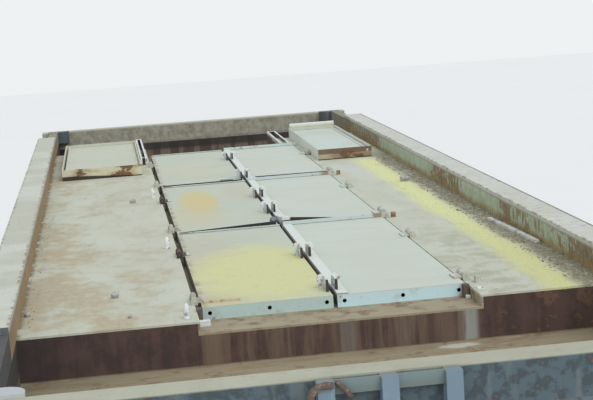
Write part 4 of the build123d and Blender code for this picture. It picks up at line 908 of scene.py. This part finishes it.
for number, row in enumerate(lid_rows):
    low = row_start + number * row_pitch + row_gap
    length = row_pitch - 2 * row_gap
    for column, lug_x, plate_step in (("left", 0.064, -0.01), ("right", 0.1, 0.01)):
        blocks, plates = [], []
        for share in lug_shares[row]:
            y = low + share * length
            blocks.append(bar_mesh((
                (lug_x - 0.0045, y - 0.052, lid_level - 0.001),
                (lug_x + 0.0045, y - 0.034, lid_level + block_height)), 0.002))
            plates.append(round_plate(
                lug_x + plate_step, y + 0.032, lid_level - 0.001, 0.036, 0.008, plate_height))
        which = row + "_" + column
        piece_from("pin_blocks_" + which, blocks, "lid_" + which, pin_paint)
        piece_from("latch_plates_" + which, plates, "lid_" + which, latch_paint)

# Toggles and loose fittings: white turned handles that stand on the left deck, a painted knob at the
# middle of the seam, short bars on two lids, and brown stop blocks on the ledge at its near corners.
toggle_outline = [(0.013, 0.0), (0.013, 0.006), (0.009, 0.01), (0.0125, 0.02), (0.0125, 0.036),
    (0.009, 0.048), (0.003, 0.058)]
toggles = [turned_mesh(toggle_outline, (-0.492, y, deck_level - 0.0005))
           for y in (-2.8, -1.344, 0.327)]
piece_from("toggle_handles", toggles, "wagon_body", latch_paint, True)
knob_coat = Finish("knob_blue_grey", (0.13, 0.16, 0.20), 0.5)
knob_coat.over(knob_coat.clouds(0.012, 4.0).rise(0.5, 0.64) * 0.5, (0.3, 0.34, 0.38))
knob_paint = knob_coat.done()
knob_outline = [(0.01, 0.0), (0.01, 0.004), (0.006, 0.006), (0.011, 0.01), (0.0165, 0.017), (0.018, 0.025),
    (0.0165, 0.033), (0.011, 0.039), (0.004, 0.0415)]
piece_from("seam_knob", [turned_mesh(knob_outline, (0.05, -0.972, lid_level - 0.0005))],
    "lid_middle_left", knob_paint, True)
tan_coat = Finish("tan_bar", (0.50, 0.42, 0.27), 0.8)
tan_coat.over(tan_coat.clouds(0.02, 5.0).rise(0.5, 0.6) * 0.7, (0.3, 0.19, 0.1), 0.9)
block_coat = Finish("block_rust", (0.11, 0.08, 0.062), 0.9)
block_coat.over(block_coat.clouds(0.015, 5.0, 0.66).rise(0.5, 0.62), (0.22, 0.165, 0.12), 0.9)
block_coat.raise_by(block_coat.clouds(0.006), 0.0008)
block_rust = block_coat.done()
sunk = 0.001
bar_table = [
    # name, body, finish, slot, chamfer, then a row of x, y, floor under it and height for each bar
    ("short_bar", "lid_far_left", knob_paint, "lid", 0.002, [
        ((-0.070, 0.008), (0.722, 0.738), lid_level, 0.011)]),
    ("tan_bar", "lid_near_left", tan_coat.done(), "lid", 0.002, [
        ((-0.415, -0.275), (-2.598, -2.584), lid_level, 0.008)]),
    ("stop_blocks", "wagon_body", block_rust, "rust", 0.003, [
        ((0.574, 0.5985), (-2.698, -2.668), ledge_level, 0.052),
        ((-0.4495, -0.43), (-2.715, -2.68), ledge_level, 0.058)]),
    ("white_feet", "wagon_body", latch_paint, "pale", 0.003, [
        ((0.58, 0.598), (-2.714, -2.7005), ledge_level, 0.013),
        ((0.612, 0.64), (-2.77, -2.755), deck_level, 0.009),
        ((-0.4495, -0.405), (-2.765, -2.74), ledge_level, 0.022)]),
]
for name, body, finish, slot, chamfer, bars in bar_table:
    piece_from(name, [
        bar_mesh(((x0, y0, floor_z - sunk), (x1, y1, floor_z + height)), chamfer)
        for (x0, x1), (y0, y1), floor_z, height in bars], body, finish)

# Front hook and strap: a bent round bar that hooks over the ladder's left stile and a short flat
# strap across the plate beside it, both rust-brown and bolted on.
def rod_mesh(path, radius, sides=10):
    """Round bar with closed ends along a path of points."""
    rings = []
    points = [Vector(point) for point in path]
    turns = [2 * pi * step / sides for step in range(sides)]
    for index, point in enumerate(points):
        ahead = (points[min(index + 1, len(points) - 1)] - points[max(index - 1, 0)]).normalized()
        side = ahead.cross(Vector((0.0, 1.0, 0.0))).normalized()
        upward = side.cross(ahead)
        rings.append([point + radius * (cos(turn) * side + sin(turn) * upward) for turn in turns])
    return finished(skin(rings))


hook_y = -(end_outer + 0.055)
hook_path = [(-0.15, hook_y, 3.547), (-0.172, hook_y, 3.549), (-0.192, hook_y, 3.546),
    (-0.208, hook_y, 3.536), (-0.217, hook_y, 3.52), (-0.218, hook_y, 3.5), (-0.21, hook_y, 3.48),
    (-0.203, hook_y, 3.455), (-0.201, hook_y, 3.425), (-0.201, hook_y, 3.39)]
strap = [(-0.138, hook_y + 0.012, 3.553), (-0.118, hook_y + 0.012, 3.533), (-0.096, hook_y + 0.012, 3.505)]
piece_from("front_hook", [rod_mesh(hook_path, 0.0115), rod_mesh(strap, 0.008, 6)],
    "wagon_body", block_rust, True)

# Seam strips: near-black strips along the near edges of the middle and far lids, painted shade that stands for
# each lid's near flange in shade.
# They stand up a little more towards the seam, and show as a dark line behind the white bars.
# Painted shade: the strips are near-black to stand for the shaded near flanges of the lids.
seam_shade_coat = Finish("seam_painted_shade", (0.022, 0.020, 0.020), 0.75)
seam_shade_coat.over(seam_shade_coat.clouds(0.02, 5.0).rise(0.52, 0.66) * 0.5, (0.09, 0.06, 0.05), 0.9)
seam_shade_black = seam_shade_coat.done()
strip_table = [
    # lid, its row, reach along x, height at each end
    ("middle_left", 1, (-0.42, 0.060), (0.006, 0.023)),
    ("far_left", 2, (-0.42, 0.060), (0.012, 0.014)),
    ("far_right", 2, (0.140, 0.580), (0.024, 0.022)),
]
for name, number, (x0, x1), (height0, height1) in strip_table:
    edge, foot_z = row_start + number * row_pitch + row_gap, lid_level - 0.001
    outline = [(x0, foot_z), (x1, foot_z), (x1, foot_z + height1), (x0, foot_z + height0)]
    piece_from("strip_" + name, [outline_mesh(outline, (edge + 0.001, edge + 0.008))], "lid_" + name,
               seam_shade_black)

# Grit and powder: what has fallen on the roof and caked there. Grey-brown crumbs lie between the
# powder band and the right rim, yellow crumbs on the powder, and a few stones have been left.
grit_coat = Finish("grit", (0.25, 0.23, 0.155), 0.95)
grit_coat.over(grit_coat.clouds(0.05, 4.0).rise(0.45, 0.62) * 0.7, (0.13, 0.105, 0.07))
grit_coat.over(grit_coat.clouds(0.03, 4.0, start=5.0).rise(0.58, 0.66) * 0.7, (0.46, 0.45, 0.32))
grit_paint = grit_coat.done()
crumb_coat = Finish("yellow_crumbs", (0.60, 0.61, 0.30), 0.95)
crumb_coat.over(crumb_coat.clouds(0.04, 4.0).rise(0.45, 0.62) * 0.6, (0.5, 0.45, 0.2))
crumb_paint = crumb_coat.done()
crumbs, crumb_sockets, crumb_nodes = copies_tree(
    "scattered_crumbs",
    {"Middle": "Vector", "Width": "Float", "Length": "Float", "Density": "Float", "Smallest": "Float",
     "Largest": "Float", "Seed": "Int", "Finish": "Material"},
    {"ground": "GeometryNodeMeshGrid", "moved": "GeometryNodeTransform",
     "spread": "GeometryNodeDistributePointsOnFaces", "crumb": "GeometryNodeMeshIcoSphere",
     "flat": "GeometryNodeTransform", "sizes": "FunctionNodeRandomValue", "turns": "FunctionNodeRandomValue"},
    [("given", "Width", "ground", "Size X"), ("given", "Length", "ground", "Size Y"),
     ("ground", "Mesh", "moved", "Geometry"), ("given", "Middle", "moved", "Translation"),
     ("moved", "Geometry", "spread", "Mesh"), ("given", "Density", "spread", "Density"),
     ("given", "Seed", "spread", "Seed"), ("given", "Smallest", "sizes", 2), ("given", "Largest", "sizes", 3),
     ("given", "Seed", "sizes", "Seed"), ("given", "Seed", "turns", "Seed"),
     ("crumb", "Mesh", "flat", "Geometry"), ("spread", "Points", "copies", "Points"),
     ("flat", "Geometry", "copies", "Instance"), ("turns", 0, "copies", "Rotation"),
     ("sizes", 1, "copies", "Scale")])
crumb_nodes["ground"].inputs["Vertices X"].default_value = 2
crumb_nodes["ground"].inputs["Vertices Y"].default_value = 2
crumb_nodes["crumb"].inputs["Subdivisions"].default_value = 1
crumb_nodes["crumb"].inputs["Radius"].default_value = 1.0
crumb_nodes["flat"].inputs["Scale"].default_value = (1.0, 0.8, 0.6)
crumb_nodes["sizes"].data_type = "FLOAT"
crumb_nodes["turns"].data_type = "FLOAT_VECTOR"
crumb_nodes["turns"].inputs[0].default_value = (0.0, 0.0, 0.0)
crumb_nodes["turns"].inputs[1].default_value = (0.6, 0.6, 6.28)
crumb_table = [
    # name, body, middle, width, length, number to a square metre, smallest, largest, seed, finish, slot
    ("grit_by_rim", "wagon_body", (1.035, -0.75, deck_level), 0.12, 4.1, 1500.0, 0.002, 0.008, 3,
     grit_paint, "deck"),
    ("grit_beside_powder", "wagon_body", (0.99, -0.75, deck_level), 0.07, 4.0, 420.0, 0.0015, 0.004, 8,
     grit_paint, "deck"),
    ("powder_crumbs", "wagon_body", (0.92, -0.8, deck_level), 0.11, 3.9, 420.0, 0.0015, 0.004, 5,
     crumb_paint, "deck"),
    ("lid_crumbs", "lid_near_left", (-0.15, -2.08, lid_level), 0.42, 0.95, 520.0, 0.0015, 0.004, 7,
     crumb_paint, "lid"),
    ("grit_by_left_rim", "wagon_body", (-1.075, -1.4, deck_level), 0.05, 2.7, 420.0, 0.002, 0.006, 11,
     grit_paint, "deck"),
]
crumb_inputs = ("Middle", "Width", "Length", "Density", "Smallest", "Largest", "Seed", "Finish")
for name, body, *values, slot in crumb_table:
    scattered = grown(name, crumbs, crumb_sockets, dict(zip(crumb_inputs, values)))
    piece_from(name, [scattered], body, values[-1])
stone_table = [
    # x, y, floor under it, reach, seed
    (-1.085, -2.517, deck_level, 0.014, 1), (-0.749, -2.323, deck_level, 0.018, 2),
    (0.952, 0.156, deck_level, 0.027, 3), (-0.8, -3.59, well_level, 0.014, 4),
    (-0.884, -3.6, well_level, 0.017, 5), (-0.612, 0.19, deck_level, 0.016, 6),
    (-0.7, -2.7, deck_level, 0.009, 7), (0.3, -3.3, well_level, 0.01, 8),
]
stone_coat = Finish("stone_grey", (0.40, 0.41, 0.38), 0.9)
stone_coat.over(stone_coat.clouds(0.02, 5.0).rise(0.42, 0.6) * 0.7, (0.24, 0.245, 0.235))
stone_coat.over(stone_coat.z.rise(well_level + 0.06, well_level + 0.03), (0.66, 0.66, 0.56))
stone_coat.raise_by(stone_coat.clouds(0.008), 0.0015)
stones = []
for x, y, floor_z, reach, seed in stone_table:
    shape = bmesh.new()
    bmesh.ops.create_icosphere(shape, subdivisions=3, radius=1.0)
    for vert in shape.verts:
        across, along, up = vert.co
        lump = 1.0 + 0.16 * sin(3.1 * across + seed) + 0.12 * cos(4.3 * along - 2.0 * seed)
        lump += 0.08 * sin(5.7 * up)
        vert.co = (x + across * reach * lump, y + along * reach * 0.85 * lump,
                   floor_z + reach * 0.62 + up * reach * 0.72 * lump)
    stones.append(finished(shape))
piece_from("loose_stones", stones, "wagon_body", stone_coat.done(), True)

# Lath: a broken strip of weathered wood that lies along the right rim.
wood = Finish("weathered_lath", (0.62, 0.64, 0.60), 0.85)
wood.over(wood.clouds(0.012, 4.0, 0.6, (1.0, 8.0, 1.0)).rise(0.5, 0.66) * 0.7, (0.36, 0.36, 0.32))
wood.over(wood.clouds(0.08, 3.0, start=2.0).rise(0.52, 0.6) * 0.6, (0.24, 0.25, 0.24))
lath_runs = [((1.048, -1.330), (1.062, -1.560)), ((1.064, -1.575), (1.084, -1.990))]
laths = []
lath_half, lath_top = 0.011, 0.014
for (x0, y0), (x1, y1) in lath_runs:
    foot = ((x0 - lath_half, y0), (x0 + lath_half, y0), (x1 + lath_half, y1), (x1 - lath_half, y1))
    shape = skin([[(x, y, z) for x, y in foot] for z in (deck_level - 0.0005, deck_level + lath_top)])
    laths.append(finished(soften(shape, 0.002)))
piece_from("broken_lath", laths, "wagon_body", wood.done())

# Floor: a wide pale slab under the wheels. It is only the stage.
floor_mesh = bpy.data.meshes.new("floor")
reach = 60.0
floor_level = -0.001
corners = ((-reach, -reach), (reach, -reach), (reach, reach), (-reach, reach))
floor_mesh.from_pydata([(x, y, floor_level) for x, y in corners], [], [(0, 1, 2, 3)])
floor_coat = Finish("floor_pale", (0.78, 0.79, 0.79), 0.9)
floor_coat.over(floor_coat.clouds(3.0, 2.0).rise(0.4, 0.6) * 0.15, (0.74, 0.75, 0.75))
floor_mesh.materials.append(floor_coat.done())
floor = bpy.data.objects.new("floor", floor_mesh)
scene.collection.objects.link(floor)
